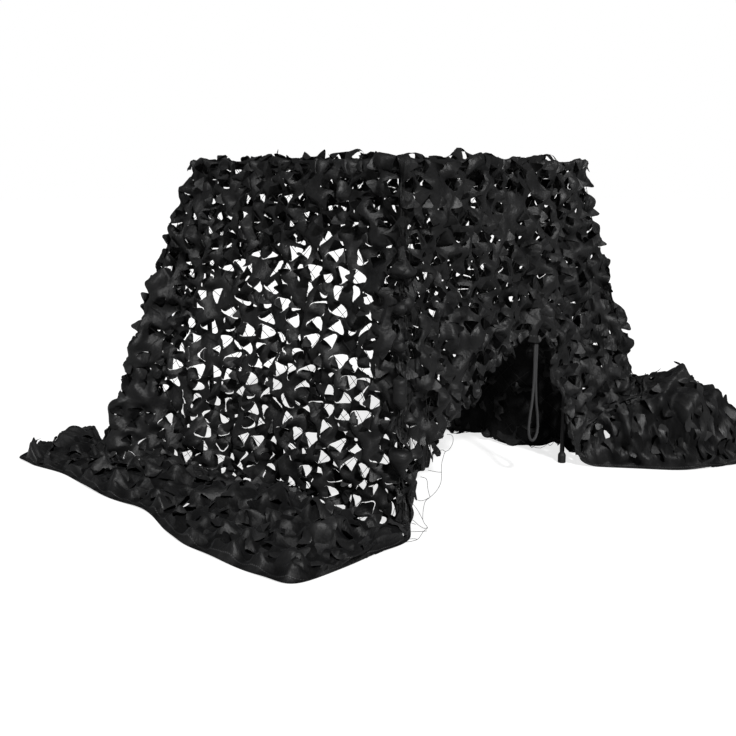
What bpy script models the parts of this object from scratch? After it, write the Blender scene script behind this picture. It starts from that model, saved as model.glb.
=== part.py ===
"""Camouflage netting draped over a plain square frame.

Units are metres, +Z is up and the floor is z = 0. The frame's square top is centred on the origin
while it is made, and everything is shifted at the end so that the origin is the bottom centre of
the whole part's box. The front corner of the frame is at (-x, -y), the right one at (+x, -y), the
left one at (-x, +y) and the back one at (+x, +y).

The net is worked out flat first. On the flat cloth (u, v) are measured from the middle of the
frame's top. A point beyond the top's edge has a place, which says where round the rim it hangs, and
a drop, its distance from the rim. Places run from 0 to 8: even numbers start a straight side and odd
numbers start the quarter fan of cloth at a corner. drape() then turns place and drop into a point
in space: over the rail, down to the foot of the fall, and out along the floor to the hem.
"""
import math

import bmesh
import bpy
import numpy as np

# ---- driving sizes ------------------------------------------------------------------------------
FRAME_SIDE = 0.700            # outer side of the square frame
FRAME_HEIGHT = 0.817          # upper face of the rails above the floor
RAIL_WIDTH = 0.017
LEG_DIAMETER = 0.013
CAP_DIAMETER = 0.022
CAP_HEIGHT = 0.027
CAP_FLOOR = 0.003             # rubber under the end of the leg
SEAT_GAP = 0.0003             # clearance between touching pieces

CLOTH_THICKNESS = 0.002
EDGE_CLEARANCE = 0.002        # net beyond the rail's edge before it turns down
EDGE_TURN = 0.012             # half of the cloth that is bent over the rail
FLOOR_TURN = 0.040            # half of the cloth that is bent where it meets the floor
TOP_SAG = 0.022               # dip of the net in the middle of the open frame
CELL = 0.056                  # pitch of the solid's mesh, and the size of its gaps
GAP_LIMIT = 300

LOOP_CORD = 0.0070            # cord of the tie loop
LOOP_LENGTH = 0.262           # from the hem to the bottom of the loop
LOOP_WIDTH = 0.048

HALF = FRAME_SIDE / 2
RIM = HALF + EDGE_CLEARANCE
RAIL_INNER = HALF - RAIL_WIDTH - EDGE_CLEARANCE
CLOTH_TOP = FRAME_HEIGHT + SEAT_GAP + CLOTH_THICKNESS / 2
CLOTH_FLOOR = CLOTH_THICKNESS / 2
FIRST_FOLD = 0.10             # drop at which the folds start to open
HEM_FOLDS = 0.2               # share of a fold that is left at a hem on the floor
LEANING_FROM = 5.05           # place from which the heaps lean on the foot of the fall

# ---- how the net hangs --------------------------------------------------------------------------
# One row for each section of the fall. place: where round the rim; foot: where the cloth meets the
# floor, or would meet it; toe: the hem on the floor, or the point that the run on the floor heads
# for; hem: height of the hem above the floor, 0 where it lies on it.
SECTION_COLUMNS = ("place", "foot_x", "foot_y", "toe_x", "toe_y", "hem")
SECTIONS = (
    (0.00, -0.372, -0.352, -0.738, -0.415, 0.000),
    (0.25, -0.370, -0.190, -0.750, -0.250, 0.000),
    (0.52, -0.368, 0.010, -0.748, -0.017, 0.000),
    (0.61, -0.370, 0.078, -0.678, 0.127, 0.000),
    (0.80, -0.385, 0.220, -0.694, 0.290, 0.000),
    (0.92, -0.410, 0.330, -0.699, 0.420, 0.000),
    (1.00, -0.455, 0.410, -0.650, 0.540, 0.000),
    (1.15, -0.560, 0.529, -0.690, 0.700, 0.000),
    (1.30, -0.530, 0.610, -0.692, 0.809, 0.000),
    (1.45, -0.470, 0.690, -0.560, 0.868, 0.000),
    (1.58, -0.410, 0.700, -0.467, 0.850, 0.000),
    (1.70, -0.370, 0.620, -0.400, 0.800, 0.140),
    (1.85, -0.330, 0.500, -0.350, 0.700, 0.350),
    (2.00, -0.310, 0.430, -0.310, 0.700, 0.500),
    (2.15, -0.250, 0.385, -0.250, 0.700, 0.552),
    (2.50, 0.000, 0.380, 0.000, 0.700, 0.584),
    (2.80, 0.210, 0.380, 0.210, 0.700, 0.620),
    (3.00, 0.330, 0.385, 0.330, 0.700, 0.560),
    (3.30, 0.420, 0.460, 0.500, 0.640, 0.360),
    (3.50, 0.490, 0.480, 0.600, 0.600, 0.100),
    (3.66, 0.500, 0.450, 0.660, 0.560, 0.000),
    (4.00, 0.420, 0.350, 0.740, 0.370, 0.000),
    (4.38, 0.362, 0.086, 0.735, 0.100, 0.000),
    (4.62, 0.375, -0.085, 0.745, -0.080, 0.000),
    (4.80, 0.395, -0.210, 0.800, -0.240, 0.000),
    (5.00, 0.432, -0.300, 0.860, -0.430, 0.000),
    (5.25, 0.490, -0.400, 0.895, -0.599, 0.000),
    (5.45, 0.525, -0.480, 0.815, -0.700, 0.000),
    (5.66, 0.490, -0.500, 0.640, -0.712, 0.000),
    (5.85, 0.430, -0.465, 0.490, -0.628, 0.000),
    (6.00, 0.380, -0.405, 0.412, -0.488, 0.000),
    (6.05, 0.300, -0.385, 0.300, -0.450, 0.110),
    (6.10, 0.245, -0.380, 0.245, -0.450, 0.200),
    (6.16, 0.232, -0.378, 0.232, -0.450, 0.290),
    (6.21, 0.215, -0.377, 0.215, -0.450, 0.350),
    (6.28, 0.170, -0.377, 0.170, -0.450, 0.376),
    (6.40, 0.080, -0.376, 0.080, -0.450, 0.380),
    (6.55, -0.030, -0.376, -0.040, -0.450, 0.336),
    (6.75, -0.160, -0.378, -0.165, -0.450, 0.236),
    (7.00, -0.262, -0.380, -0.266, -0.460, 0.148),
    (7.35, -0.340, -0.380, -0.345, -0.450, 0.070),
    (7.60, -0.364, -0.380, -0.400, -0.422, 0.000),
    (7.80, -0.370, -0.374, -0.560, -0.420, 0.000),
)
SECTION_SOFTENING = 0.05      # stretch of places over which the sections blend

# One row for each main fold: its place and width round the rim, and its depth outwards, or upwards
# on the floor.
FOLDS = (
    (0.10, 0.045, 0.016),
    (0.34, 0.050, 0.014),
    (0.50, 0.030, 0.022),
    (0.68, 0.045, 0.018),
    (0.90, 0.040, 0.030),
    (1.08, 0.050, -0.022),
    (1.22, 0.045, 0.024),
    (1.52, 0.060, -0.022),
    (1.80, 0.060, 0.020),
    (2.30, 0.070, 0.014),
    (2.68, 0.060, 0.016),
    (3.15, 0.090, 0.026),
    (3.42, 0.060, -0.022),
    (3.80, 0.080, 0.026),
    (4.20, 0.060, 0.020),
    (4.52, 0.050, 0.024),
    (4.74, 0.040, -0.016),
    (4.92, 0.045, 0.028),
    (5.14, 0.060, -0.022),
    (5.42, 0.060, 0.032),
    (5.74, 0.050, 0.028),
    (6.24, 0.045, 0.018),
    (6.48, 0.040, 0.020),
    (6.68, 0.035, 0.026),
    (6.86, 0.030, -0.014),
    (7.02, 0.045, 0.012),
    (7.22, 0.045, -0.006),
    (7.42, 0.050, 0.012),
    (7.72, 0.050, 0.018),
)

# One row for each heap of rucked cloth on the floor: its middle, its reach along and across the
# direction (in degrees) that it is turned to, and its height.
HEAPS = (
    (0.562, -0.522, 0.182, 0.100, -42.0, 0.242),
    (0.550, -0.340, 0.140, 0.085, -20.0, 0.150),
    (-0.560, -0.300, 0.120, 0.050, 80.0, 0.040),
    (-0.540, -0.040, 0.110, 0.050, 100.0, 0.045),
    (-0.530, 0.300, 0.120, 0.050, 80.0, 0.050),
    (-0.600, 0.640, 0.130, 0.055, 60.0, 0.050),
    (0.570, 0.080, 0.130, 0.060, 95.0, 0.050),
    (0.560, 0.420, 0.110, 0.060, 60.0, 0.055),
)


def column(table, names, name):
    """One named column of a table."""
    return np.array([row[names.index(name)] for row in table])


def rim_point(place):
    """The point of the rim at each place, and the direction that leads straight out from it."""
    corners = np.array([(-RIM, -RIM), (-RIM, RIM), (RIM, RIM), (RIM, -RIM), (-RIM, -RIM)])
    part = np.mod(place, 8.0)
    side = (part // 2).astype(int)
    along = np.clip(part - 2 * side, 0.0, 1.0)[..., None]
    turned = np.clip(part - 2 * side - 1.0, 0.0, 1.0)
    point = corners[side] * (1 - along) + corners[side + 1] * along
    angle = math.pi - (side + turned) * math.pi / 2
    return point, np.stack([np.cos(angle), np.sin(angle)], axis=-1)


def section_lengths():
    """Cloth from the rim to the hem at each section."""
    rim, out = rim_point(column(SECTIONS, SECTION_COLUMNS, "place"))
    foot = np.stack([column(SECTIONS, SECTION_COLUMNS, c) for c in ("foot_x", "foot_y")], axis=-1)
    toe = np.stack([column(SECTIONS, SECTION_COLUMNS, c) for c in ("toe_x", "toe_y")], axis=-1)
    hem = column(SECTIONS, SECTION_COLUMNS, "hem")
    slant = np.hypot(np.linalg.norm(foot - rim - out * EDGE_TURN, axis=-1), CLOTH_TOP - CLOTH_FLOOR)
    run = np.linalg.norm(toe - foot, axis=-1)
    hanging = slant * (1 - hem / CLOTH_TOP)
    return EDGE_TURN + np.where(hem > 0, hanging, slant + run)


def soften(values):
    """Joins the sections' values round the rim and blends them over a short stretch."""
    places = column(SECTIONS, SECTION_COLUMNS, "place")
    fine = np.arange(0.0, 8.0, 0.01)
    joined = np.interp(fine, places, values, period=8.0)
    reach = np.arange(-20, 21)
    weights = np.exp(-0.5 * (reach * 0.01 / SECTION_SOFTENING) ** 2)
    padded = np.concatenate([joined[-20:], joined, joined[:20]])
    return fine, np.convolve(padded, weights / weights.sum(), mode="valid")


def at_place(name, place):
    """A section value at any place round the rim."""
    values = section_lengths() if name == "length" else column(SECTIONS, SECTION_COLUMNS, name)
    fine, smooth = soften(values)
    return np.interp(np.mod(place, 8.0), fine, smooth, period=8.0)


def ramp(distance, start, half_turn):
    """0 before a bend and the distance past it after it, with a smooth turn between them."""
    past = distance - start
    turning = (past + half_turn) ** 2 / (4 * half_turn)
    return np.where(past < -half_turn, 0.0, np.where(past > half_turn, past, turning))


def smooth_step(value):
    value = np.clip(value, 0.0, 1.0)
    return value * value * (3 - 2 * value)


def fold_depth(place):
    """Sum of the main folds at each place."""
    depth = np.zeros_like(place)
    for at, width, outwards in FOLDS:
        apart = np.mod(place - at + 4.0, 8.0) - 4.0
        depth += outwards * np.exp(-0.5 * (apart / width) ** 2)
    return depth


def heap_height(x, y):
    """Height of the rucked cloth at a point of the floor."""
    height = np.zeros_like(x)
    for middle_x, middle_y, along, across, turn, top in HEAPS:
        cos, sin = math.cos(math.radians(turn)), math.sin(math.radians(turn))
        a = ((x - middle_x) * cos + (y - middle_y) * sin) / along
        b = ((y - middle_y) * cos - (x - middle_x) * sin) / across
        height = np.maximum(height, top * np.exp(-0.5 * (a * a + b * b)))
    return height


def drape(place, drop):
    """Middle of the cloth's thickness at a place round the rim and a drop from it."""
    rim, out = rim_point(place)
    start = np.concatenate([rim, np.full(rim.shape[:-1] + (1,), CLOTH_TOP)], axis=-1)
    level = np.concatenate([out, np.zeros(out.shape[:-1] + (1,))], axis=-1)
    foot = np.stack([at_place("foot_x", place), at_place("foot_y", place),
                     np.full_like(place, CLOTH_FLOOR)], axis=-1)
    toe = np.stack([at_place("toe_x", place), at_place("toe_y", place),
                    np.full_like(place, CLOTH_FLOOR)], axis=-1)
    fall = foot - start - level * EDGE_TURN
    fall_length = np.linalg.norm(fall, axis=-1, keepdims=True)
    run = toe - foot
    run = run / np.linalg.norm(run, axis=-1, keepdims=True)
    drop = drop[..., None]
    over = ramp(drop, EDGE_TURN, EDGE_TURN)
    landed = ramp(drop, EDGE_TURN + fall_length, FLOOR_TURN)
    point = start + level * (drop - over) + fall / fall_length * (over - landed) + run * landed

    on_floor = smooth_step((drop - EDGE_TURN - fall_length + FLOOR_TURN) / (2 * FLOOR_TURN))
    opening = smooth_step((drop - FIRST_FOLD) / 0.45)
    fold = fold_depth(place)[..., None] * opening
    upward = np.array([0.0, 0.0, 1.0])
    to_hem = at_place("length", place)[..., None] - drop
    flatter = HEM_FOLDS + (1 - HEM_FOLDS) * smooth_step(to_hem / 0.15)
    point = point + fold * (level * (1 - on_floor) + upward * on_floor * flatter)

    hem_fade = smooth_step(to_hem / 0.12)
    leaning = smooth_step((np.mod(place, 8.0)[..., None] - LEANING_FROM) / 0.15)
    foot_fade = leaning + (1 - leaning) * smooth_step(landed / 0.09)
    heap = heap_height(point[..., 0], point[..., 1])[..., None] * hem_fade * foot_fade
    height = point[..., 2:]
    heaped = np.where(drop > 2 * EDGE_TURN, (np.maximum(height, 0) ** 4 + heap ** 4) ** 0.25, height)
    point[..., 2:] = np.maximum(heaped, CLOTH_FLOOR)
    return point


def place_and_drop(u, v):
    """Place round the rim and drop from it of each point of the flat cloth."""
    beyond_u = np.maximum(np.abs(u) - RIM, 0.0)
    beyond_v = np.maximum(np.abs(v) - RIM, 0.0)
    drop = np.hypot(beyond_u, beyond_v)
    along_u = (np.clip(u, -RIM, RIM) + RIM) / (2 * RIM)
    along_v = (np.clip(v, -RIM, RIM) + RIM) / (2 * RIM)
    turn = np.arctan2(beyond_v, beyond_u) / (math.pi / 2)
    side_place = np.select(
        [(u < -RIM) & (beyond_v == 0), (v > RIM) & (beyond_u == 0), (u > RIM) & (beyond_v == 0)],
        [along_v, 2 + along_u, 4 + 1 - along_v], 6 + 1 - along_u)
    fan_place = np.select(
        [(u < 0) & (v > 0), (u > 0) & (v > 0), (u > 0) & (v < 0)],
        [1 + turn, 3 + 1 - turn, 5 + turn], 7 + 1 - turn)
    return np.where((beyond_u > 0) & (beyond_v > 0), fan_place, side_place), drop


def top_point(u, v):
    """The net on the open top of the frame: it sags between the rails and lies flat on them."""
    dip_u = np.cos(np.clip(u / RAIL_INNER, -1, 1) * math.pi / 2)
    dip_v = np.cos(np.clip(v / RAIL_INNER, -1, 1) * math.pi / 2)
    return np.stack([u, v, CLOTH_TOP - TOP_SAG * dip_u * dip_v], axis=-1)


def flat_lines(reach):
    """Places of the flat cloth's mesh lines along one axis."""
    on_top = np.linspace(-RAIL_INNER, RAIL_INNER, round(2 * RAIL_INNER / CELL) + 1)
    bend = RIM + 2 * EDGE_TURN
    beyond = bend + np.linspace(0, reach, round(reach / CELL) + 1)
    over = np.array([RIM, RIM + EDGE_TURN])
    return np.concatenate([-beyond[::-1], -over[::-1], on_top, over, beyond])


# ---- materials and small helpers ----------------------------------------------------------------
def material(name, colour, roughness, metallic=0.0):
    """A plain Principled material."""
    made = bpy.data.materials.new(name)
    made.use_nodes = True
    shader = made.node_tree.nodes["Principled BSDF"]
    shader.inputs["Base Color"].default_value = (*colour, 1.0)
    shader.inputs["Roughness"].default_value = roughness
    shader.inputs["Metallic"].default_value = metallic
    made.diffuse_color = (*colour, 1.0)
    return made


def place_object(name, mesh, look):
    """Puts a mesh in the scene as one named piece."""
    mesh.materials.append(look)
    made = bpy.data.objects.new(name, mesh)
    bpy.context.scene.collection.objects.link(made)
    return made


def mesh_from(bm, name, smooth_angle=None):
    """Turns a bmesh into a mesh, shaded smooth below an angle where one is given."""
    mesh = bpy.data.meshes.new(name)
    bm.to_mesh(mesh)
    bm.free()
    if smooth_angle is not None:
        mesh.shade_smooth()
        mesh.set_sharp_from_angle(angle=smooth_angle)
    return mesh


# ---- the net ------------------------------------------------------------------------------------
def cut_gaps(bm, inside, lines_u, lines_v):
    """Leaves out one triangle of every second cell, so that no two gaps meet."""
    rim_band = RAIL_INNER, RIM + 2 * EDGE_TURN
    cells = []
    for face in bm.faces:
        if len(face.verts) != 4 or not all(inside[v.index] for v in face.verts):
            continue
        u, v, _ = face.calc_center_median()
        if any(rim_band[0] < abs(value) < rim_band[1] for value in (u, v)):
            continue
        column_u = np.searchsorted(lines_u, u)
        column_v = np.searchsorted(lines_v, v)
        if column_u % 2 == 0 and column_v % 2 == 0:
            cells.append((max(abs(u), abs(v)), column_u + column_v, face))
    cells.sort(key=lambda cell: cell[0])
    used = set()
    triangles = []
    for _, turn, face in cells:
        corners = list(face.verts)
        if len(triangles) == GAP_LIMIT or used & {v.index for v in corners}:
            continue
        used |= {v.index for v in corners}
        triangles.append((face, turn // 2 % 4))
    for face, turn in triangles:
        corners = list(face.verts)
        kept = [corners[(turn + step) % 4] for step in (0, 2, 3)]
        bm.faces.remove(face)
        bm.faces.new(kept)
    return len(triangles)


def make_net(look):
    """The net cloth: a flat grid with its gaps, cut at the hem and laid over the frame."""
    lines_u = flat_lines(1.30)
    lines_v = flat_lines(1.10)
    bm = bmesh.new()
    bmesh.ops.create_grid(bm, x_segments=len(lines_u) - 1, y_segments=len(lines_v) - 1, size=0.5)
    bm.verts.ensure_lookup_table()
    across = len(lines_u)
    for vert in bm.verts:
        vert.co = (lines_u[vert.index % across], lines_v[vert.index // across], 0.0)
    flat = np.array([vert.co[:2] for vert in bm.verts])
    place, drop = place_and_drop(flat[:, 0], flat[:, 1])
    length = at_place("length", place)
    beyond = drop > length - 0.35 * CELL
    bmesh.ops.delete(bm, geom=[f for f in bm.faces if all(beyond[v.index] for v in f.verts)],
                     context="FACES")
    bm.verts.index_update()
    flat = np.array([vert.co[:2] for vert in bm.verts])
    place, drop = place_and_drop(flat[:, 0], flat[:, 1])
    length = at_place("length", place)
    inside = drop < length - 1.3 * CELL
    gaps = cut_gaps(bm, inside, lines_u, lines_v)
    drop = np.where(drop > length - 0.35 * CELL, length, drop)
    space = np.where((drop > 0)[:, None], drape(place, drop), top_point(flat[:, 0], flat[:, 1]))
    hemmed = bm.verts.layers.int.new("hemmed")
    for vert, point, on_hem in zip(bm.verts, space, drop == length):
        vert.co = point
        vert[hemmed] = int(on_hem)
    bmesh.ops.remove_doubles(bm, verts=bm.verts, dist=0.004)
    bmesh.ops.triangulate(bm, faces=bm.faces)
    slivers = [face for face in bm.faces if all(vert[hemmed] for vert in face.verts)]
    bmesh.ops.delete(bm, geom=slivers, context="FACES")
    bmesh.ops.recalc_face_normals(bm, faces=bm.faces)
    cloth = place_object("net_cloth", mesh_from(bm, "net_cloth"), look)
    wall = cloth.modifiers.new("Thickness", "SOLIDIFY")
    wall.thickness = CLOTH_THICKNESS
    wall.offset = 0.0
    print("gaps cut in the net", gaps)


# ---- the frame ----------------------------------------------------------------------------------
LEG_NAMES = {"front": (-1, -1), "right": (1, -1), "left": (-1, 1), "back": (1, 1)}
LEG_CENTRE = HALF - RAIL_WIDTH / 2


def round_bar(name, diameter, low, high, look, bevel=0.0008):
    """An upright round bar with softened ends."""
    bm = bmesh.new()
    bmesh.ops.create_cone(bm, cap_ends=True, segments=16, radius1=diameter / 2,
                          radius2=diameter / 2, depth=high - low)
    ends = [e for e in bm.edges if abs(e.verts[0].co.z - e.verts[1].co.z) < 1e-6]
    bmesh.ops.bevel(bm, geom=ends, offset=bevel, segments=1, affect="EDGES", profile=0.5,
                    material=-1)
    bmesh.ops.translate(bm, verts=bm.verts, vec=(0, 0, (low + high) / 2))
    return place_object(name, mesh_from(bm, name, math.radians(40)), look)


def turned_piece(name, profile, look):
    """A round piece turned about its own upright axis from a closed outline of (radius, height)."""
    bm = bmesh.new()
    verts = [bm.verts.new((radius, 0, height)) for radius, height in profile]
    edges = [bm.edges.new((verts[i], verts[(i + 1) % len(verts)])) for i in range(len(verts))
             if not (verts[i].co.x == 0 and verts[(i + 1) % len(verts)].co.x == 0)]
    bmesh.ops.spin(bm, geom=verts + edges, cent=(0, 0, 0), axis=(0, 0, 1), angle=2 * math.pi,
                   steps=16, use_merge=True)
    bmesh.ops.remove_doubles(bm, verts=bm.verts, dist=1e-5)
    bmesh.ops.recalc_face_normals(bm, faces=bm.faces)
    return place_object(name, mesh_from(bm, name, math.radians(40)), look)


def make_legs(steel, rubber):
    """A leg at each corner with its rubber cap, and a block that joins it to two rails."""
    leg_top = FRAME_HEIGHT - RAIL_WIDTH - SEAT_GAP
    bore = LEG_DIAMETER / 2 + SEAT_GAP
    for corner, (sign_x, sign_y) in LEG_NAMES.items():
        where = (sign_x * LEG_CENTRE, sign_y * LEG_CENTRE, 0)
        leg = round_bar(f"leg_{corner}", LEG_DIAMETER, CAP_FLOOR + SEAT_GAP, leg_top, steel)
        radius = CAP_DIAMETER / 2
        cap = turned_piece(f"foot_cap_{corner}", (
            (0, 0), (radius, 0), (radius, CAP_HEIGHT - 0.006), (radius - 0.0025, CAP_HEIGHT),
            (bore, CAP_HEIGHT), (bore, CAP_FLOOR), (0, CAP_FLOOR)), rubber)
        for piece in (leg, cap):
            piece.location = where
        corner_block(f"corner_{corner}", sign_x, sign_y, steel)


def corner_block(name, sign_x, sign_y, look):
    """The block at a corner, as high as the rails, on top of its leg."""
    bm = bmesh.new()
    bmesh.ops.create_cube(bm, size=RAIL_WIDTH)
    bmesh.ops.bevel(bm, geom=bm.edges[:], offset=0.0015, segments=1, affect="EDGES", profile=0.5,
                    material=-1)
    block = place_object(name, mesh_from(bm, name), look)
    block.location = (sign_x * LEG_CENTRE, sign_y * LEG_CENTRE, FRAME_HEIGHT - RAIL_WIDTH / 2)


def make_rails(steel):
    """A rail between the corner blocks on each side of the square."""
    length = FRAME_SIDE - 2 * RAIL_WIDTH - 2 * SEAT_GAP
    sides = {"rail_front_left": (-1, 0), "rail_back_left": (0, 1), "rail_back_right": (1, 0),
             "rail_front_right": (0, -1)}
    for name, (sign_x, sign_y) in sides.items():
        bm = bmesh.new()
        bmesh.ops.create_cube(bm, size=1.0)
        size = (RAIL_WIDTH, length, RAIL_WIDTH) if sign_x else (length, RAIL_WIDTH, RAIL_WIDTH)
        bmesh.ops.scale(bm, vec=size, verts=bm.verts)
        bmesh.ops.bevel(bm, geom=bm.edges[:], offset=0.0015, segments=1, affect="EDGES",
                        profile=0.5, material=-1)
        rail = place_object(name, mesh_from(bm, name), steel)
        rail.location = (sign_x * LEG_CENTRE, sign_y * LEG_CENTRE, FRAME_HEIGHT - RAIL_WIDTH / 2)


# ---- the tie loop -------------------------------------------------------------------------------
LOOP_PLACE = 6.31             # where it hangs on the raised hem
LOOP_BELOW = 0.0050           # from the hem to the ends of the cord


def make_loop(look):
    """A cord doubled into a loop: two strands side by side under the hem, open at the bottom."""
    place = np.array([LOOP_PLACE])
    hem = drape(place, at_place("length", place))[0]
    strands = LOOP_CORD / 2 + 0.0006
    half_width = (LOOP_WIDTH - LOOP_CORD) / 2
    route = ((strands, 0.000), (strands, -0.045), (strands, -0.095), (strands + 0.002, -0.125),
             (half_width * 0.50, -0.160), (half_width * 0.82, -0.192), (half_width, -0.222),
             (half_width * 0.88, -0.242), (half_width * 0.50, -0.254), (0.0, -LOOP_LENGTH + LOOP_CORD / 2))
    side = [(x, z) for x, z in route]
    both = side + [(-x, z) for x, z in reversed(side[:-1])]
    curve = bpy.data.curves.new("tie_loop", "CURVE")
    curve.dimensions = "3D"
    curve.bevel_depth = LOOP_CORD / 2
    curve.bevel_resolution = 2
    curve.use_fill_caps = True
    points = smooth_route(both, LOOP_CORD * 2)
    spline = curve.splines.new("POLY")
    spline.points.add(len(points) - 1)
    for point, (x, z) in zip(spline.points, points):
        point.co = (hem[0] + x, hem[1], hem[2] - LOOP_BELOW + z, 1.0)
    return place_object("tie_loop", curve, look)


def smooth_route(points, step):
    """Points a step apart on a smooth curve through the given ones."""
    points = np.array(points)
    padded = np.vstack([2 * points[0] - points[1], points, 2 * points[-1] - points[-2]])
    fine = []
    for i in range(1, len(padded) - 2):
        before, start, end, after = padded[i - 1:i + 3]
        for t in np.linspace(0, 1, 16, endpoint=False):
            fine.append(0.5 * (2 * start + (end - before) * t
                               + (2 * before - 5 * start + 4 * end - after) * t ** 2
                               + (3 * start - before - 3 * end + after) * t ** 3))
    fine = np.array(fine + [padded[-2]])
    travelled = np.concatenate([[0], np.cumsum(np.linalg.norm(np.diff(fine, axis=0), axis=1))])
    stops = np.linspace(0, travelled[-1], round(travelled[-1] / step) + 1)
    return np.stack([np.interp(stops, travelled, fine[:, axis]) for axis in range(2)], axis=-1)


def set_origin():
    """Moves every piece so that the origin is the bottom centre of the whole part's box."""
    bpy.context.view_layer.update()
    graph = bpy.context.evaluated_depsgraph_get()
    corners = []
    for piece in bpy.context.scene.objects:
        shape = piece.evaluated_get(graph)
        mesh = shape.to_mesh()
        corners += [shape.matrix_world @ vert.co for vert in mesh.vertices]
        shape.to_mesh_clear()
    corners = np.array(corners)
    middle = (corners.min(axis=0) + corners.max(axis=0)) / 2
    for piece in bpy.context.scene.objects:
        piece.location.x -= middle[0]
        piece.location.y -= middle[1]
    print("box", corners.min(axis=0), corners.max(axis=0))
    print("centre of the frame from the origin", -middle[:2])


def main():
    for old in list(bpy.data.objects):
        bpy.data.objects.remove(old, do_unlink=True)
    fabric = material("black_fabric", (0.012, 0.012, 0.013), 0.75)
    steel = material("black_tube", (0.020, 0.020, 0.021), 0.38)
    rubber = material("black_rubber", (0.010, 0.010, 0.010), 0.6)
    cord = material("dark_cord", (0.035, 0.035, 0.036), 0.8)
    make_rails(steel)
    make_legs(steel, rubber)
    make_net(fabric)
    make_loop(cord)
    set_origin()


main()
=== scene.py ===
# %% [markdown]
# # Camouflage netting over a plain frame
#
# A length of black cloth, slit all over and pulled open, falls over a square frame on four thin
# legs. Two long ends spread on the floor, one edge is hitched up, and a doubled cord hangs from it.
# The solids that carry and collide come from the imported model. This lesson dresses them: the cloth
# with its cut leaves, the string net behind it, the cord, the painted tube and the rubber feet.

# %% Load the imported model
import math

import bmesh
import bpy
import numpy as np
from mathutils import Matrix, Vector


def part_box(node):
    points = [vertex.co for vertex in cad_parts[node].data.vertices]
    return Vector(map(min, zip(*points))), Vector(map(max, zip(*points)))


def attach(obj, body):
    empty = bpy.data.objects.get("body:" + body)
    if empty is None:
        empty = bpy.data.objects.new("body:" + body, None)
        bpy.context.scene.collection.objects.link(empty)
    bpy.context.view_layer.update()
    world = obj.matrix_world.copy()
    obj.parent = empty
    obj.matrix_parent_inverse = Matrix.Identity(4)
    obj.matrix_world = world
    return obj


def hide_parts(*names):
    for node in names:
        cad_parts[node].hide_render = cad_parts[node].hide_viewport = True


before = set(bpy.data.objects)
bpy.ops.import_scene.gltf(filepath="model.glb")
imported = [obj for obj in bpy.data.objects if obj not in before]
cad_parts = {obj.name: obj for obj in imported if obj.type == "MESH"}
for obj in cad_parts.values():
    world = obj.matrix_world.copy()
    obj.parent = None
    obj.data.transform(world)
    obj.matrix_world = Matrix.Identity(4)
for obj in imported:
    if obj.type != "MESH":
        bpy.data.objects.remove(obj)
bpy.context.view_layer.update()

# %% [markdown]
# The frame tells where everything is. The four legs give the middle of the square, and the rails
# give its side and its height, so the cloth is laid on them and not on typed coordinates.

# %% Read the frame's sizes
LEGS = ("leg_front", "leg_right", "leg_left", "leg_back")
RAILS = ("rail_front_left", "rail_back_left", "rail_back_right", "rail_front_right")
CAPS = ("foot_cap_front", "foot_cap_right", "foot_cap_left", "foot_cap_back")
CORNERS = ("corner_front", "corner_right", "corner_left", "corner_back")

leg_boxes = np.array([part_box(name) for name in LEGS])
rail_boxes = np.array([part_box(name) for name in RAILS])
MIDDLE = leg_boxes.mean(axis=(0, 1)) * (1, 1, 0)
FRAME_HEIGHT = rail_boxes[:, 1, 2].max()
HALF = (rail_boxes[:, 1, 0].max() - rail_boxes[:, 0, 0].min()) / 2
RAIL_WIDTH = rail_boxes[0, 1, 2] - rail_boxes[0, 0, 2]
print("middle of the frame", MIDDLE.round(4), "half side", round(HALF, 4), "height", round(FRAME_HEIGHT, 4))

# %% [markdown]
# The photograph was taken from just below the height of the frame's top, looking a little down, and
# turned so that the front corner points at the lens. The corners of the top and the one foot that
# shows fix the lens and the place: one camera height is the unit that the floor is measured in.

# %% Camera
CAMERA_HEIGHT = 0.778
CAMERA_BACK = (-1.8829, -1.7009)      # from the middle of the frame
CAMERA_HEADING = math.radians(46.6)   # clockwise from +Y
CAMERA_TILT = math.radians(11.31)
LENS = 46.47
SENSOR = 36.0

camera_data = bpy.data.cameras.new("camera")
camera_data.lens = LENS
camera_data.sensor_width = SENSOR
camera_data.clip_end = 60
camera = bpy.data.objects.new("camera", camera_data)
bpy.context.scene.collection.objects.link(camera)
camera.location = (MIDDLE[0] + CAMERA_BACK[0], MIDDLE[1] + CAMERA_BACK[1], CAMERA_HEIGHT)
camera.rotation_euler = (math.pi / 2 - CAMERA_TILT, 0, -CAMERA_HEADING)
bpy.context.scene.camera = camera
print("camera at", tuple(round(value, 3) for value in camera.location))

# %% [markdown]
# ## The cord first
# A free cord is settled before anything else, because its route is part of the model. Here it is a
# short line, doubled, whose two ends go up behind the hem. The route repeats the solid's own points.

# %% Tie loop
LOOP_CORD = 0.0070
LOOP_WIDTH = 0.048
loop_low, loop_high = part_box("tie_loop")
LOOP_LENGTH = loop_high[2] - loop_low[2]
loop_x = (loop_low[0] + loop_high[0]) / 2
loop_y = (loop_low[1] + loop_high[1]) / 2
loop_top = loop_high[2]


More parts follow.
